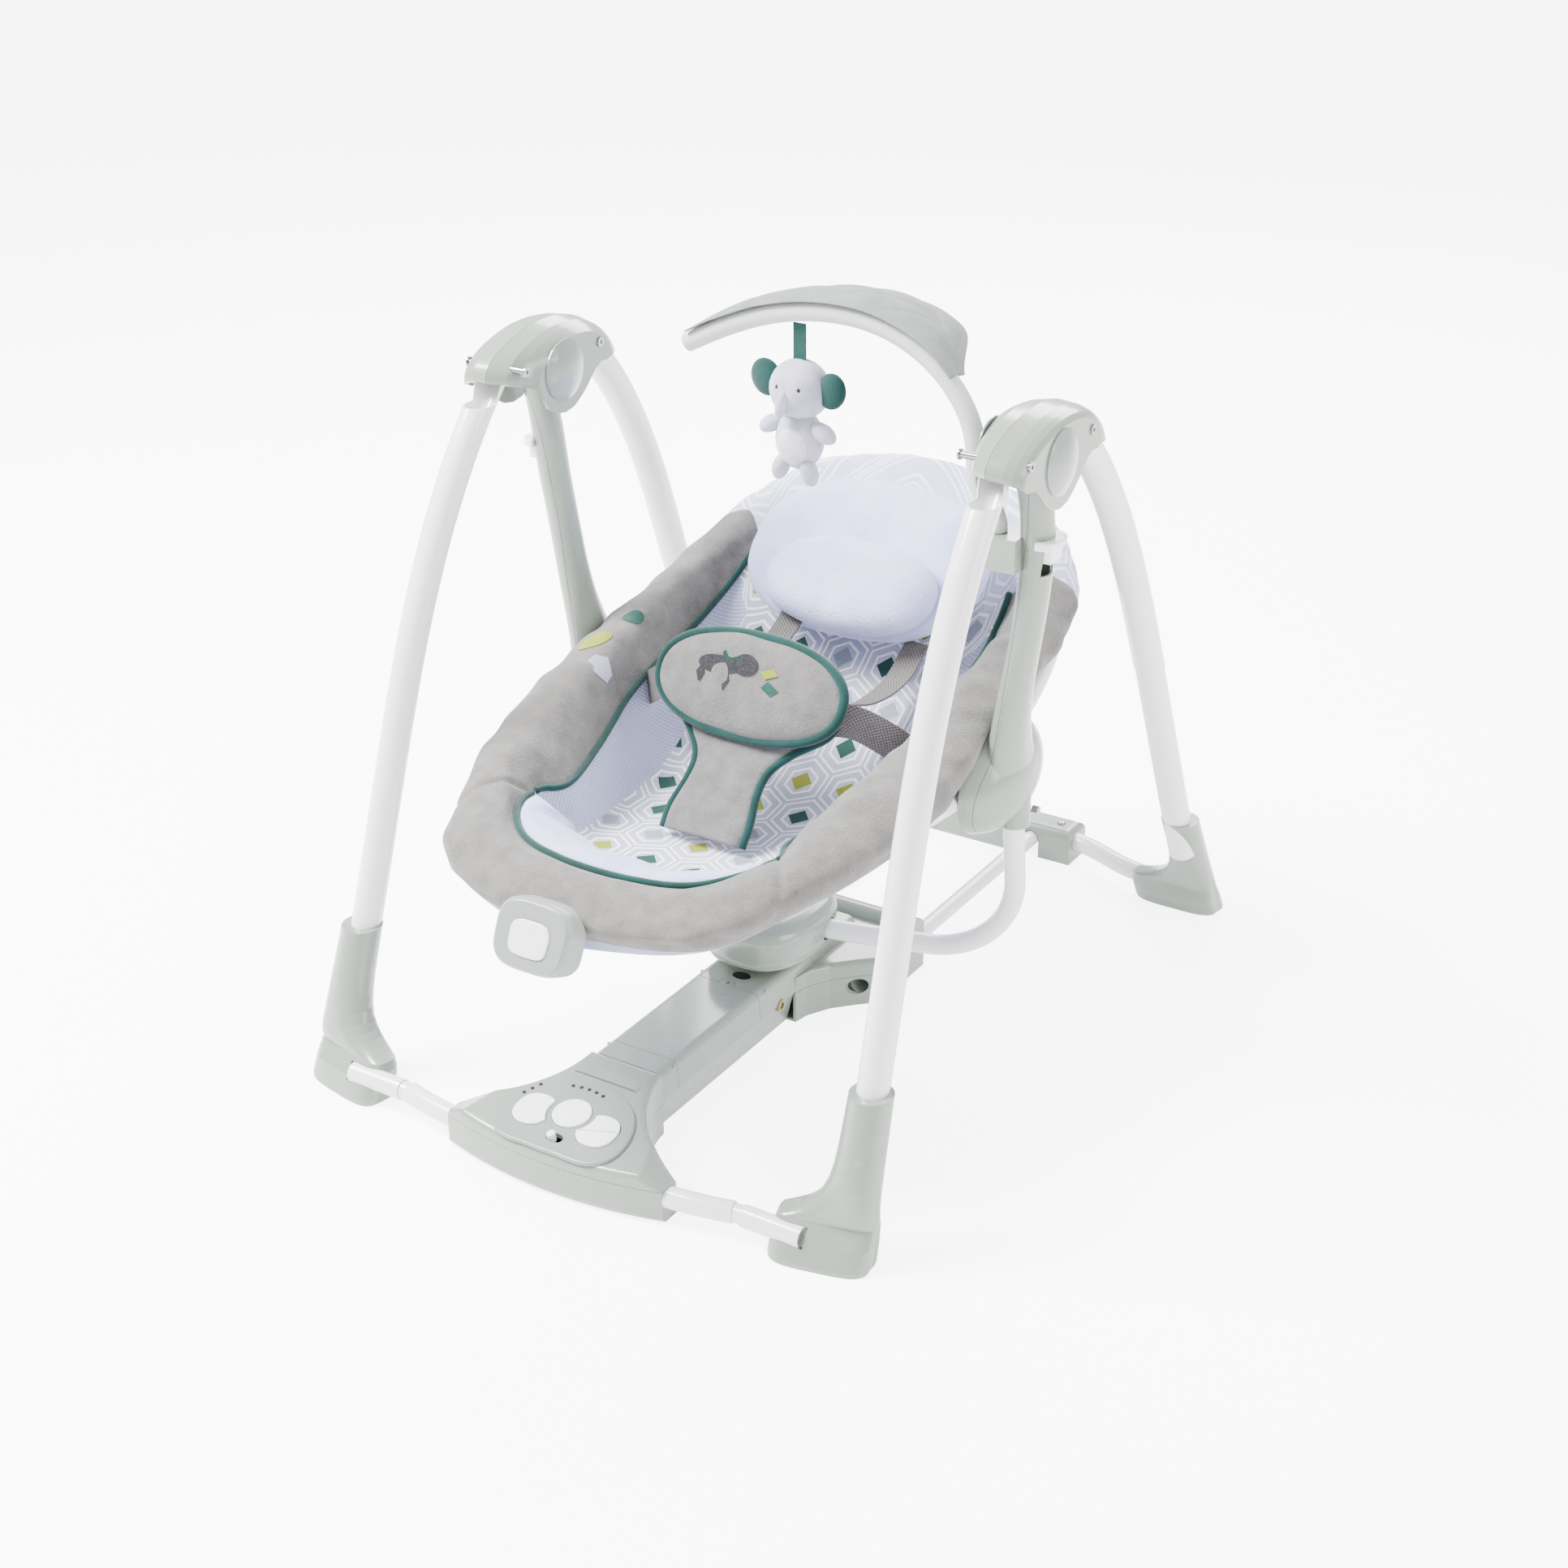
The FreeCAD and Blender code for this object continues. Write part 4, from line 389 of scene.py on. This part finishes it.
def ripple(points, size, seed, waves=7):
    """Sum of crossing sine waves: soft unevenness of stuffed cloth, about -1..1."""
    rng = np.random.default_rng(seed)
    total = np.zeros(points.shape[:-1])
    for _ in range(waves):
        way = rng.normal(size=3)
        way *= rng.uniform(0.7, 1.5) * 2 * math.pi / (size * np.linalg.norm(way))
        total += np.sin(points @ way + rng.uniform(0, 2 * math.pi))
    return total / math.sqrt(waves)


def seat_grid(rows, columns):
    """Grid of seat surface points: station runs along the first axis, ring place along the second."""
    along = flow(RINGS, rows, RINGS[1] * MIRROR, RINGS[-2] * MIRROR)
    ring = np.swapaxes(along, 0, 1)
    ring = flow(ring, columns, ring[1] * MIRROR, ring[-2] * MIRROR)
    return np.swapaxes(ring, 0, 1)


def grid_normals(points):
    """Normal = cross product of the two grid directions, made one long."""
    normal = np.cross(np.gradient(points, axis=1), np.gradient(points, axis=0))
    return normal / np.maximum(np.linalg.norm(normal, axis=-1, keepdims=True), 1e-9)


def grid_mesh(name, points, layout=None, wrap=False, merge=0.0):
    """Piece made of one grid of points; wrap joins its last column to its first."""
    rows, columns = points.shape[:2]
    order = np.arange(rows * columns).reshape(rows, columns)
    beside = np.roll(order, -1, axis=1) if wrap else order[:, 1:]
    here = order if wrap else order[:, :-1]
    faces = np.stack([here[:-1], beside[:-1], beside[1:], here[1:]], axis=-1).reshape(-1, 4)
    piece = plain_mesh(name, points.reshape(-1, 3), faces)
    if layout is not None:
        uv = piece.data.uv_layers.new(name="layout")
        corner = np.zeros(len(piece.data.loops), np.int32)
        piece.data.loops.foreach_get("vertex_index", corner)
        uv.data.foreach_set("uv", layout.reshape(-1, 2)[corner].astype(np.float32).ravel())
    if merge:
        tidy(piece, merge)
    piece.data.polygons.foreach_set("use_smooth", [True] * len(piece.data.polygons))
    return piece


def tidy(piece, merge):
    """Join points that lie together and turn every face outward."""
    work = bmesh.new()
    work.from_mesh(piece.data)
    bmesh.ops.remove_doubles(work, verts=work.verts, dist=merge)
    bmesh.ops.dissolve_degenerate(work, edges=work.edges, dist=merge / 4)
    bmesh.ops.recalc_face_normals(work, faces=work.faces)
    work.to_mesh(piece.data)
    work.free()


def close_ends(piece):
    """Cap the open ends of a swept piece and turn every face outward."""
    work = bmesh.new()
    work.from_mesh(piece.data)
    bmesh.ops.holes_fill(work, edges=[e for e in work.edges if e.is_boundary], sides=0)
    bmesh.ops.recalc_face_normals(work, faces=work.faces)
    work.to_mesh(piece.data)
    work.free()


SEAT_ROWS, HALF_COLUMNS = 209, 97
half = seat_grid(SEAT_ROWS, HALF_COLUMNS)
station = np.linspace(0, LAST_STATION, SEAT_ROWS)[:, None]
stop = np.linspace(0, RING_STOPS, HALF_COLUMNS)[None, :]
rim = np.clip((stop - EDGE + 0.1) / 0.4, 0, 1) * np.clip((HEM - stop) / 0.4, 0, 1)
away = grid_normals(half)
TOE_SEAM, BAND_SEAM = 2.75, 9.9
puff = 0.0016 * ripple(half, 0.075, 4) + 0.0008 * ripple(half, 0.030, 9)
for seam in (TOE_SEAM, BAND_SEAM):
    puff = puff - 0.0030 * np.exp(-((station - seam) / 0.07) ** 2)
fade = np.clip(np.minimum(station, LAST_STATION - station) / 0.8, 0, 1)
half = half + away * (puff * rim * fade)[..., None]
left = half[:, 1:-1][:, ::-1] * MIRROR
loop = np.concatenate([half, left], axis=1)
across = np.concatenate([np.zeros((SEAT_ROWS, 1)), np.cumsum(np.linalg.norm(np.diff(half, axis=1), axis=2), axis=1)], axis=1)
run = np.concatenate([[0], np.cumsum(np.linalg.norm(np.diff(half[:, 0], axis=0), axis=1))])
layout_half = np.stack([across, np.repeat(run[:, None], HALF_COLUMNS, 1)], axis=-1)
layout = np.concatenate([layout_half, layout_half[:, 1:-1][:, ::-1] * np.array([-1.0, 1.0])], axis=1)
seat = grid_mesh("seat_cushion", loop, layout, wrap=True)
for material in (VELOUR, HEAD_PRINT, MESH, PRINT, LINING):
    seat.data.materials.append(material)
columns = loop.shape[1]
ring_place = np.concatenate([stop[0], stop[0][1:-1][::-1]])
ring_next = np.roll(ring_place, -1)
face_stop = np.tile((ring_place + ring_next) / 2, SEAT_ROWS - 1)
face_station = np.repeat((station[:-1, 0] + station[1:, 0]) / 2, columns)
kind = np.full(face_stop.shape, 3)
kind[(face_stop > FOOT) & (face_stop < EDGE) & (face_station > 2.6) & (face_station < 9.2)] = 2
kind[(face_stop > EDGE) & (face_stop < HEM)] = 0
kind[(face_stop > EDGE - 0.7) & (face_stop < HEM) & (face_station > BAND_SEAM)] = 1
kind[face_stop > HEM] = 4
seat.data.polygons.foreach_set("material_index", kind.astype(np.int32))
tidy(seat, 0.00005)
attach(seat, "seat")
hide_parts("seat_pad")


# ------------------------------------------------------------------ edge bindings
# Teal piping sewn along the inner edge of the rolls and round the toe pad.
def tube_along(name, line, radius, around=12, closed=False):
    """Round cord: circles of one radius square to a line of points, carried without twist."""
    line = np.asarray(line, float)
    if closed:
        way = np.roll(line, -1, axis=0) - np.roll(line, 1, axis=0)
    else:
        way = np.gradient(line, axis=0)
    way /= np.linalg.norm(way, axis=1, keepdims=True)
    side = np.cross(way[0], [0.3, 0.2, 1.0])
    rows = []
    for point, ahead in zip(line, way):
        side = side - ahead * (side @ ahead)
        side /= np.linalg.norm(side)
        lift = np.cross(ahead, side)
        turn = np.linspace(0, 2 * math.pi, around, endpoint=False)[:, None]
        rows.append(point + radius * (np.cos(turn) * side + np.sin(turn) * lift))
    rows = np.array(rows)
    if closed:
        rows = np.concatenate([rows, rows[:1]])
    else:
        rows = np.concatenate([np.repeat(line[:1, None], around, 1), rows, np.repeat(line[-1:, None], around, 1)])
    return grid_mesh(name, rows, wrap=True, merge=0.00002)


def on_seat(stations, stops, lift=0.0):
    """Points of the seat surface at given places, moved out along its normal."""
    r = np.asarray(stations, float) / LAST_STATION * (SEAT_ROWS - 1)
    c = np.asarray(stops, float) / RING_STOPS * (HALF_COLUMNS - 1)
    r0, c0 = np.clip(r.astype(int), 0, SEAT_ROWS - 2), np.clip(c.astype(int), 0, HALF_COLUMNS - 2)
    fr, fc = (r - r0)[..., None], (c - c0)[..., None]

    def read(table):
        low = table[r0, c0] * (1 - fc) + table[r0, c0 + 1] * fc
        high = table[r0 + 1, c0] * (1 - fc) + table[r0 + 1, c0 + 1] * fc
        return low * (1 - fr) + high * fr

    return read(half) + read(away) * lift


PIPING_R = 0.0032
for side, label in ((1, "right"), (-1, "left")):
    places = np.linspace(2.9, BAND_SEAM, 160)
    line = on_seat(places, np.full(places.shape, EDGE), 0.001) * np.array([side, 1, 1])
    cord = tube_along("side_piping_" + label, line, PIPING_R)
    cord.data.materials.append(TEAL)
    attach(cord, "seat")

# ------------------------------------------------------------------------ toe pad
# A crescent of white plush, quilted in a fan, laid over the toe end of the floor.
places = np.linspace(-2.78, 2.78, 181)
deep = np.linspace(0, 1, 25)
place_grid, deep_grid = np.meshgrid(places, deep, indexing="ij")
ends = np.clip((2.78 - np.abs(place_grid)) / 0.5, 0, 1) ** 0.5
stops = EDGE - 0.03 - deep_grid * 1.05 * (0.35 + 0.65 * ends)
fan = 0.75 + 0.25 * np.abs(np.cos(place_grid * math.pi * 0.8))
height = 0.015 * (1 - np.abs(2 * deep_grid - 1) ** 3.0) ** 0.7 * np.maximum(ends, 0.0) * fan
sign = np.where(place_grid < 0, -1.0, 1.0)[..., None] * np.array([1, 0, 0]) + np.array([0, 1, 1])
low = on_seat(np.abs(place_grid), stops, 0.0012) * sign
top = low + (on_seat(np.abs(place_grid), stops, 0.0112) * sign - low) / 0.01 * height[..., None]
top += (0.0006 * ripple(top, 0.02, 21) * (height > 0.004))[..., None] * np.array([0, -0.4, 1])
ring = np.concatenate([top, low[:, 1:-1][:, ::-1]], axis=1)
toe_pad = grid_mesh("toe_pad", ring, wrap=True, merge=0.00002)
work = bmesh.new()
work.from_mesh(toe_pad.data)
bmesh.ops.holes_fill(work, edges=[e for e in work.edges if e.is_boundary], sides=0)
bmesh.ops.recalc_face_normals(work, faces=work.faces)
work.to_mesh(toe_pad.data)
work.free()
toe_pad.data.materials.append(PLUSH)
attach(toe_pad, "seat")
outer_edge = np.where(places[:, None] < 0, -1.0, 1.0) * np.array([[1.0, 0, 0]]) + np.array([[0, 1.0, 1.0]])
line = on_seat(np.abs(places), np.full(places.shape, EDGE), 0.002) * outer_edge
cord = tube_along("toe_piping", line, PIPING_R)
cord.data.materials.append(TEAL)
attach(cord, "seat")

# ------------------------------------------------------------------- head support
# Two plush tiers: a wide puffy ring pillow and a smaller crescent cushion laid on it.
def pillow(name, centre, half_wide, half_long, thick, tilt, dish=0.0, power=2.4, rows=41, around=96, wrinkle=0.0008):
    """Closed pillow: height = thick / 2 * (1 - r^4)^0.5 * (1 - dish * (1 - r)), tipped about X by tilt degrees."""
    radius = np.sin(np.linspace(0, math.pi / 2, rows))[:, None]
    turn = np.linspace(0, 2 * math.pi, around, endpoint=False)[None, :]
    c, s = np.cos(turn), np.sin(turn)
    x = half_wide * radius * np.sign(c) * np.abs(c) ** (2 / power)
    y = half_long * radius * np.sign(s) * np.abs(s) ** (2 / power)
    rise = thick / 2 * np.sqrt(np.maximum(1 - radius ** 4, 0)) * (1 - dish * (1 - radius)) * np.ones_like(turn)
    upper = np.stack([x, y, rise], axis=-1)
    lower = np.stack([x, y, -rise * 0.8], axis=-1)[::-1][1:]
    body = np.concatenate([upper, lower])
    body[..., 2] += wrinkle * ripple(body, 0.05, 31)
    a = math.radians(tilt)
    turned = np.stack([body[..., 0], body[..., 1] * math.cos(a) - body[..., 2] * math.sin(a),
                       body[..., 1] * math.sin(a) + body[..., 2] * math.cos(a)], axis=-1)
    return grid_mesh(name, turned + np.array(centre), wrap=True, merge=0.00002)


SUPPORT_TILT = 40.0
support = pillow("head_support_ring", (0.004, 0.204, 0.393), 0.122, 0.082, 0.040, SUPPORT_TILT, 0.75)
inner = pillow("head_support_cushion", (0.012, 0.157, 0.384), 0.086, 0.046, 0.046, SUPPORT_TILT, 0.15)
for piece in (support, inner):
    piece.data.materials.append(PLUSH)
    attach(piece, "seat")
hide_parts("head_support")


# --------------------------------------------------------------------- crotch pad
# Velour oval on a waisted stem sewn to the seat floor, both edged in teal.
PAD_TILT, PAD_CENTRE = 60.0, (0.0, 0.006, 0.338)
oval = pillow("crotch_oval", PAD_CENTRE, 0.094, 0.045, 0.022, PAD_TILT, 0.0, 2.3)


def pad_plane(across, up, out):
    """Point on the oval's own plane, in the frame of the swing."""
    a = math.radians(PAD_TILT)
    up, out, across = np.asarray(up), np.asarray(out), np.asarray(across)
    return np.stack([PAD_CENTRE[0] + across, PAD_CENTRE[1] + up * math.cos(a) - out * math.sin(a),
                     PAD_CENTRE[2] + up * math.sin(a) + out * math.cos(a)], axis=-1)


turn = np.linspace(0, 2 * math.pi, 160, endpoint=False)
edge_line = pad_plane(0.094 * np.sign(np.cos(turn)) * np.abs(np.cos(turn)) ** (2 / 2.3),
                      0.045 * np.sign(np.sin(turn)) * np.abs(np.sin(turn)) ** (2 / 2.3), np.zeros_like(turn))
oval_piping = tube_along("crotch_oval_piping", edge_line, 0.0046, closed=True)

# Stem: place fore and aft, height, half width, from the floor up to the oval.
STEM = np.array([(-0.073, 0.224, 0.041), (-0.060, 0.240, 0.041), (-0.040, 0.260, 0.036), (-0.023, 0.276, 0.038),
                 (-0.008, 0.291, 0.054), (0.006, 0.304, 0.076), (0.014, 0.314, 0.084)])
stem_line = flow(STEM, 49, 2 * STEM[0] - STEM[1], 2 * STEM[-1] - STEM[-2])
share = np.linspace(-1, 1, 33)[None, :]
out = np.array([0, -0.78, 0.62])
base = np.stack([stem_line[:, 2:3] * share, stem_line[:, 0:1] + 0 * share, stem_line[:, 1:2] + 0 * share], axis=-1)
loft = 0.0075 * np.sqrt(np.maximum(1 - share ** 4, 0))
front_face = base + out * (loft * np.ones((49, 1)))[..., None]
back_face = base - out * (loft * np.ones((49, 1)))[..., None] * 0.7
front_face[..., 1] += 0.0007 * ripple(front_face, 0.03, 41)
stem_ring = np.concatenate([front_face, back_face[:, 1:-1][:, ::-1]], axis=1)
stem = grid_mesh("crotch_stem", stem_ring, wrap=True)
close_ends(stem)
for side, label in ((1, "right"), (-1, "left")):
    line = base[:, -1 if side > 0 else 0] + out * 0.001
    cord = tube_along("crotch_stem_piping_" + label, line, 0.0038)
    cord.data.materials.append(TEAL)
    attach(cord, "seat")
for piece in (oval, stem):
    piece.data.materials.append(VELOUR)
    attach(piece, "seat")
oval_piping.data.materials.append(TEAL)
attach(oval_piping, "seat")
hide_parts("crotch_pad")


# --------------------------------------------------------------------- embroidery
# Filled shapes stitched on the oval and on the left roll, standing a hair above the cloth.
def stitched(name, outline, surface, material):
    """Flat filled outline laid on a surface: rings shrink the outline to its middle, surface(u, v) gives the points."""
    outline = np.asarray(outline, float)
    middle = outline.mean(axis=0)
    rings = np.array([middle + (outline - middle) * k for k in (1.0, 0.8, 0.6, 0.4, 0.2, 0.02)])
    patch = grid_mesh(name, surface(rings[..., 0], rings[..., 1]), wrap=True)
    patch.data.materials.append(material)
    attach(patch, "seat")
    return patch


def oval_face(u, v):
    r = np.clip(np.sqrt((u / 0.094) ** 2 + (v / 0.045) ** 2), 0, 0.98)
    return pad_plane(u, v, 0.011 * np.sqrt(1 - r ** 4) + 0.0009)


def ellipse(cu, cv, ru, rv, turned=0.0, count=28):
    t = np.linspace(0, 2 * math.pi, count, endpoint=False)
    x, y = ru * np.cos(t), rv * np.sin(t)
    a = math.radians(turned)
    return np.stack([cu + x * math.cos(a) - y * math.sin(a), cv + x * math.sin(a) + y * math.cos(a)], axis=1)


def lozenge(cu, cv, ru, rv, lean=0.0):
    return np.array([(cu - ru, cv), (cu + lean, cv + rv), (cu + ru, cv), (cu - lean, cv - rv)])


STITCH_DARK = cloth("dark_stitching", tint(162, 162, 166), tint(120, 120, 124), 1500.0, 0.0006, 600.0)
STITCH_GREEN = cloth("green_stitching", tint(112, 168, 150), tint(96, 152, 138), 1500.0, 0.0006, 300.0)
STITCH_LIME = cloth("lime_stitching", tint(212, 216, 152), tint(204, 210, 140), 1500.0, 0.0006, 300.0)
STITCH_TEAL = cloth("teal_stitching", tint(140, 180, 174), tint(122, 166, 160), 1500.0, 0.0006, 300.0)
STITCH_WHITE = cloth("white_stitching", tint(228, 229, 238), tint(216, 218, 228), 1500.0, 0.0008, 500.0)
stitched("stitched_body", ellipse(-0.030, 0.012, 0.021, 0.0085), oval_face, STITCH_DARK)
stitched("stitched_head", ellipse(-0.004, 0.017, 0.013, 0.0095), oval_face, STITCH_DARK)
stitched("stitched_leg_a", lozenge(-0.046, 0.002, 0.0045, 0.009), oval_face, STITCH_DARK)
stitched("stitched_leg_b", lozenge(-0.019, 0.0, 0.0045, 0.010), oval_face, STITCH_DARK)
stitched("stitched_ear", ellipse(-0.020, 0.023, 0.009, 0.0048), oval_face, STITCH_GREEN)
stitched("stitched_lime", lozenge(0.022, 0.014, 0.009, 0.0055, 0.003), oval_face, STITCH_LIME)
stitched("stitched_teal", lozenge(0.026, 0.001, 0.009, 0.0065, -0.003), oval_face, STITCH_TEAL)


def left_roll(u, v):
    """Place on the left roll: u counts stations, v counts ring stops."""
    return on_seat(u, v, 0.0008) * MIRROR


stitched("stitched_roll_teal", ellipse(6.72, 4.05, 0.13, 0.26, 10), left_roll, STITCH_TEAL)
stitched("stitched_roll_lime", ellipse(6.05, 4.35, 0.15, 0.30, 20), left_roll, STITCH_LIME)
hexagon = [(5.68 + 0.17 * math.cos(math.radians(60 * i)), 3.80 + 0.36 * math.sin(math.radians(60 * i))) for i in range(6)]
stitched("stitched_roll_white", hexagon, left_roll, STITCH_WHITE)


# ------------------------------------------------------------------ harness straps
# Flat webbing: two waist straps from under the oval, two shoulder straps from the back.
def webbing(name, line, across, wide=0.025, thick=0.0018, body="seat"):
    """Closed flat band that follows a smooth line, its width held along one direction."""
    line = np.asarray(line, float)
    path = flow(line, 41, 2 * line[0] - line[1], 2 * line[-1] - line[-2])
    way = np.gradient(path, axis=0)
    way /= np.linalg.norm(way, axis=1, keepdims=True)
    side = np.asarray(across, float) - way * (way @ np.asarray(across, float))[:, None]
    side /= np.linalg.norm(side, axis=1, keepdims=True)
    lift = np.cross(way, side)
    share = np.linspace(-0.5, 0.5, 9)
    top = path[:, None] + side[:, None] * share[None, :, None] * wide + lift[:, None] * thick / 2
    under = path[:, None] + side[:, None] * share[None, ::-1, None] * wide - lift[:, None] * thick / 2
    ring = np.concatenate([top, under], axis=1)
    run = np.concatenate([[0], np.cumsum(np.linalg.norm(np.diff(path, axis=0), axis=1))])
    place = np.concatenate([share, share[::-1]]) * wide
    layout = np.stack(np.meshgrid(place, run), axis=-1)
    band = grid_mesh(name, ring, layout, wrap=True)
    close_ends(band)
    band.data.polygons.foreach_set("use_smooth", [False] * len(band.data.polygons))
    band.data.materials.append(WEBBING)
    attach(band, body)
    return band


waist_right = webbing("waist_strap_right", [(0.074, 0.012, 0.322), (0.098, 0.022, 0.320), (0.122, 0.034, 0.306), (0.138, 0.046, 0.290)],
                      (0.35, 0.35, 1.0), 0.030)
webbing("waist_strap_left", [(-0.082, 0.012, 0.322), (-0.100, 0.024, 0.316), (-0.122, 0.036, 0.302), (-0.138, 0.046, 0.290)],
        (-0.35, 0.35, 1.0), 0.030)
webbing("shoulder_strap_left", [(-0.030, 0.046, 0.318), (-0.036, 0.086, 0.330), (-0.038, 0.128, 0.345), (-0.040, 0.158, 0.362)],
        (1, 0, 0))
webbing("shoulder_strap_right", [(0.046, 0.050, 0.312), (0.066, 0.086, 0.306), (0.080, 0.122, 0.318), (0.084, 0.156, 0.344)],
        (1, 0.2, 0.3))
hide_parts("harness_straps")


# -------------------------------------------------------------------- leaf canopy
# Quilted leaf sewn to the top of the toy bar, with a raised rib and side veins.
BAR_LINE = np.array([(0.172, 0.0505, 0.6208), (0.140, 0.054, 0.647), (0.092, 0.057, 0.664), (0.040, 0.058, 0.666),
                     (-0.012, 0.059, 0.656), (-0.058, 0.060, 0.638), (-0.092, 0.060, 0.621)])
LEAF_SHARE = np.array([0.30, 0.94, 1.0, 0.92, 0.70, 0.38, 0.06])
LEAF_ROWS, LEAF_COLUMNS, LEAF_DEEP = 161, 65, 0.086
line = flow(BAR_LINE, LEAF_ROWS, 2 * BAR_LINE[0] - BAR_LINE[1], 2 * BAR_LINE[-1] - BAR_LINE[-2])
share = flow(LEAF_SHARE, LEAF_ROWS, np.array(0.0), np.array(0.0))[:, None]
slope = np.gradient(line, axis=0)
top_of_bar = 0.0094 * np.hypot(1.0, slope[:, 2] / slope[:, 0])[:, None]
k = np.linspace(0, 1, LEAF_COLUMNS)[None, :]
depth = LEAF_DEEP * np.maximum(share, 0.02)
y = line[:, 1:2] - 0.010 + depth * k
z = line[:, 2:3] + np.minimum(top_of_bar, 0.016) + share * (0.003 * np.sin(math.pi * k) - 0.013 * np.maximum(0, k - 0.3))
x = line[:, 0:1] + 0 * k
place = np.linspace(0, 1, LEAF_ROWS)[:, None]
vein = np.abs(np.sin(math.pi * (place * 6.0 - np.abs(k - 0.5) * 2.2))) ** 0.45 * np.abs(np.clip((k - 0.5) * 18, -1, 1))
plump = 0.0052 * (1 - np.abs(2 * k - 1) ** 4) * np.clip(4 * place, 0, 1) * np.clip(4 * (1 - place), 0, 1)
upper = np.stack([x, y, z + plump * (0.55 + 0.45 * vein) + 0.0006], axis=-1)
lower = np.stack([x, y, z - 0.0006 * (1 - np.abs(2 * k - 1) ** 4)], axis=-1)
leaf = grid_mesh("leaf_canopy", np.concatenate([upper, lower[:, 1:-1][:, ::-1]], axis=1), wrap=True)
close_ends(leaf)
LEAF_CLOTH = cloth("leaf_cloth", tint(208, 211, 209), tint(200, 203, 201), 900.0, 0.0005, 40.0, 0.1)
leaf.data.materials.append(LEAF_CLOTH)
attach(leaf, "toy_bar")
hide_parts("toy_leaf")


# ---------------------------------------------------------------------- plush toy
# Little elephant: stuffed head, trunk, body, belly and limbs, with felt ears, on a teal loop.
def ball(centre, radii, tilt=0.0, rows=17, around=28):
    """Ellipsoid points as a grid, tipped about the fore and aft axis."""
    lat = np.linspace(0, math.pi, rows)[:, None]
    lon = np.linspace(0, 2 * math.pi, around, endpoint=False)[None, :]
    p = np.stack([radii[0] * np.sin(lat) * np.cos(lon), radii[1] * np.sin(lat) * np.sin(lon),
                  radii[2] * np.cos(lat) * np.ones_like(lon)], axis=-1)
    a = math.radians(tilt)
    x, z = p[..., 0] * math.cos(a) + p[..., 2] * math.sin(a), p[..., 2] * math.cos(a) - p[..., 0] * math.sin(a)
    return np.stack([x, p[..., 1], z], axis=-1) + np.array(centre)


def stuffed(name, centre, radii, material, tilt=0.0):
    piece = grid_mesh(name, ball(centre, radii, tilt), wrap=True, merge=0.00001)
    piece.data.materials.append(material)
    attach(piece, "plush_toy")
    return piece


TOY_GREY = cloth("toy_plush", tint(234, 234, 240), tint(222, 222, 230), 700.0, 0.001, 60.0, 0.35)
TOY_WHITE = cloth("toy_belly_plush", tint(244, 243, 245), tint(232, 231, 236), 700.0, 0.001, 60.0, 0.35)
HEAD_AT = (0.020, 0.058, 0.597)
head = stuffed("toy_head", HEAD_AT, (0.0275, 0.0225, 0.0260), TOY_GREY)
stuffed("toy_body", (0.020, 0.058, 0.553), (0.0220, 0.0185, 0.0265), TOY_GREY)
stuffed("toy_belly", (0.020, 0.0460, 0.551), (0.0150, 0.0080, 0.0175), TOY_WHITE)
stuffed("toy_trunk", (0.015, 0.0365, 0.588), (0.0052, 0.0060, 0.0125), TOY_GREY, 12)
stuffed("toy_ear_left", (-0.012, 0.056, 0.603), (0.0150, 0.0060, 0.0165), TEAL, -18)
stuffed("toy_ear_right", (0.0520, 0.056, 0.600), (0.0140, 0.0060, 0.0160), TEAL, 18)
for label, at, lean in (("arm_left", (-0.006, 0.054, 0.564), 60), ("arm_right", (0.046, 0.054, 0.563), -60),
                        ("foot_left", (0.006, 0.050, 0.529), 20), ("foot_right", (0.034, 0.050, 0.528), -20)):
    stuffed("toy_" + label, at, (0.0075, 0.0085, 0.0125), TOY_GREY, lean)
for side, label in ((-1, "left"), (1, "right")):
    stuffed("toy_eye_" + label, (0.020 + side * 0.0105, 0.0385, 0.602), (0.0018, 0.0014, 0.0020), STITCH_DARK, 0)
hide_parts("plush_toy")
webbing("toy_loop", [(0.020, 0.058, 0.612), (0.020, 0.058, 0.625), (0.020, 0.058, 0.640), (0.020, 0.058, 0.6535)],
        (1, 0, 0), 0.012, 0.0016, "plush_toy").data.materials[0] = TEAL
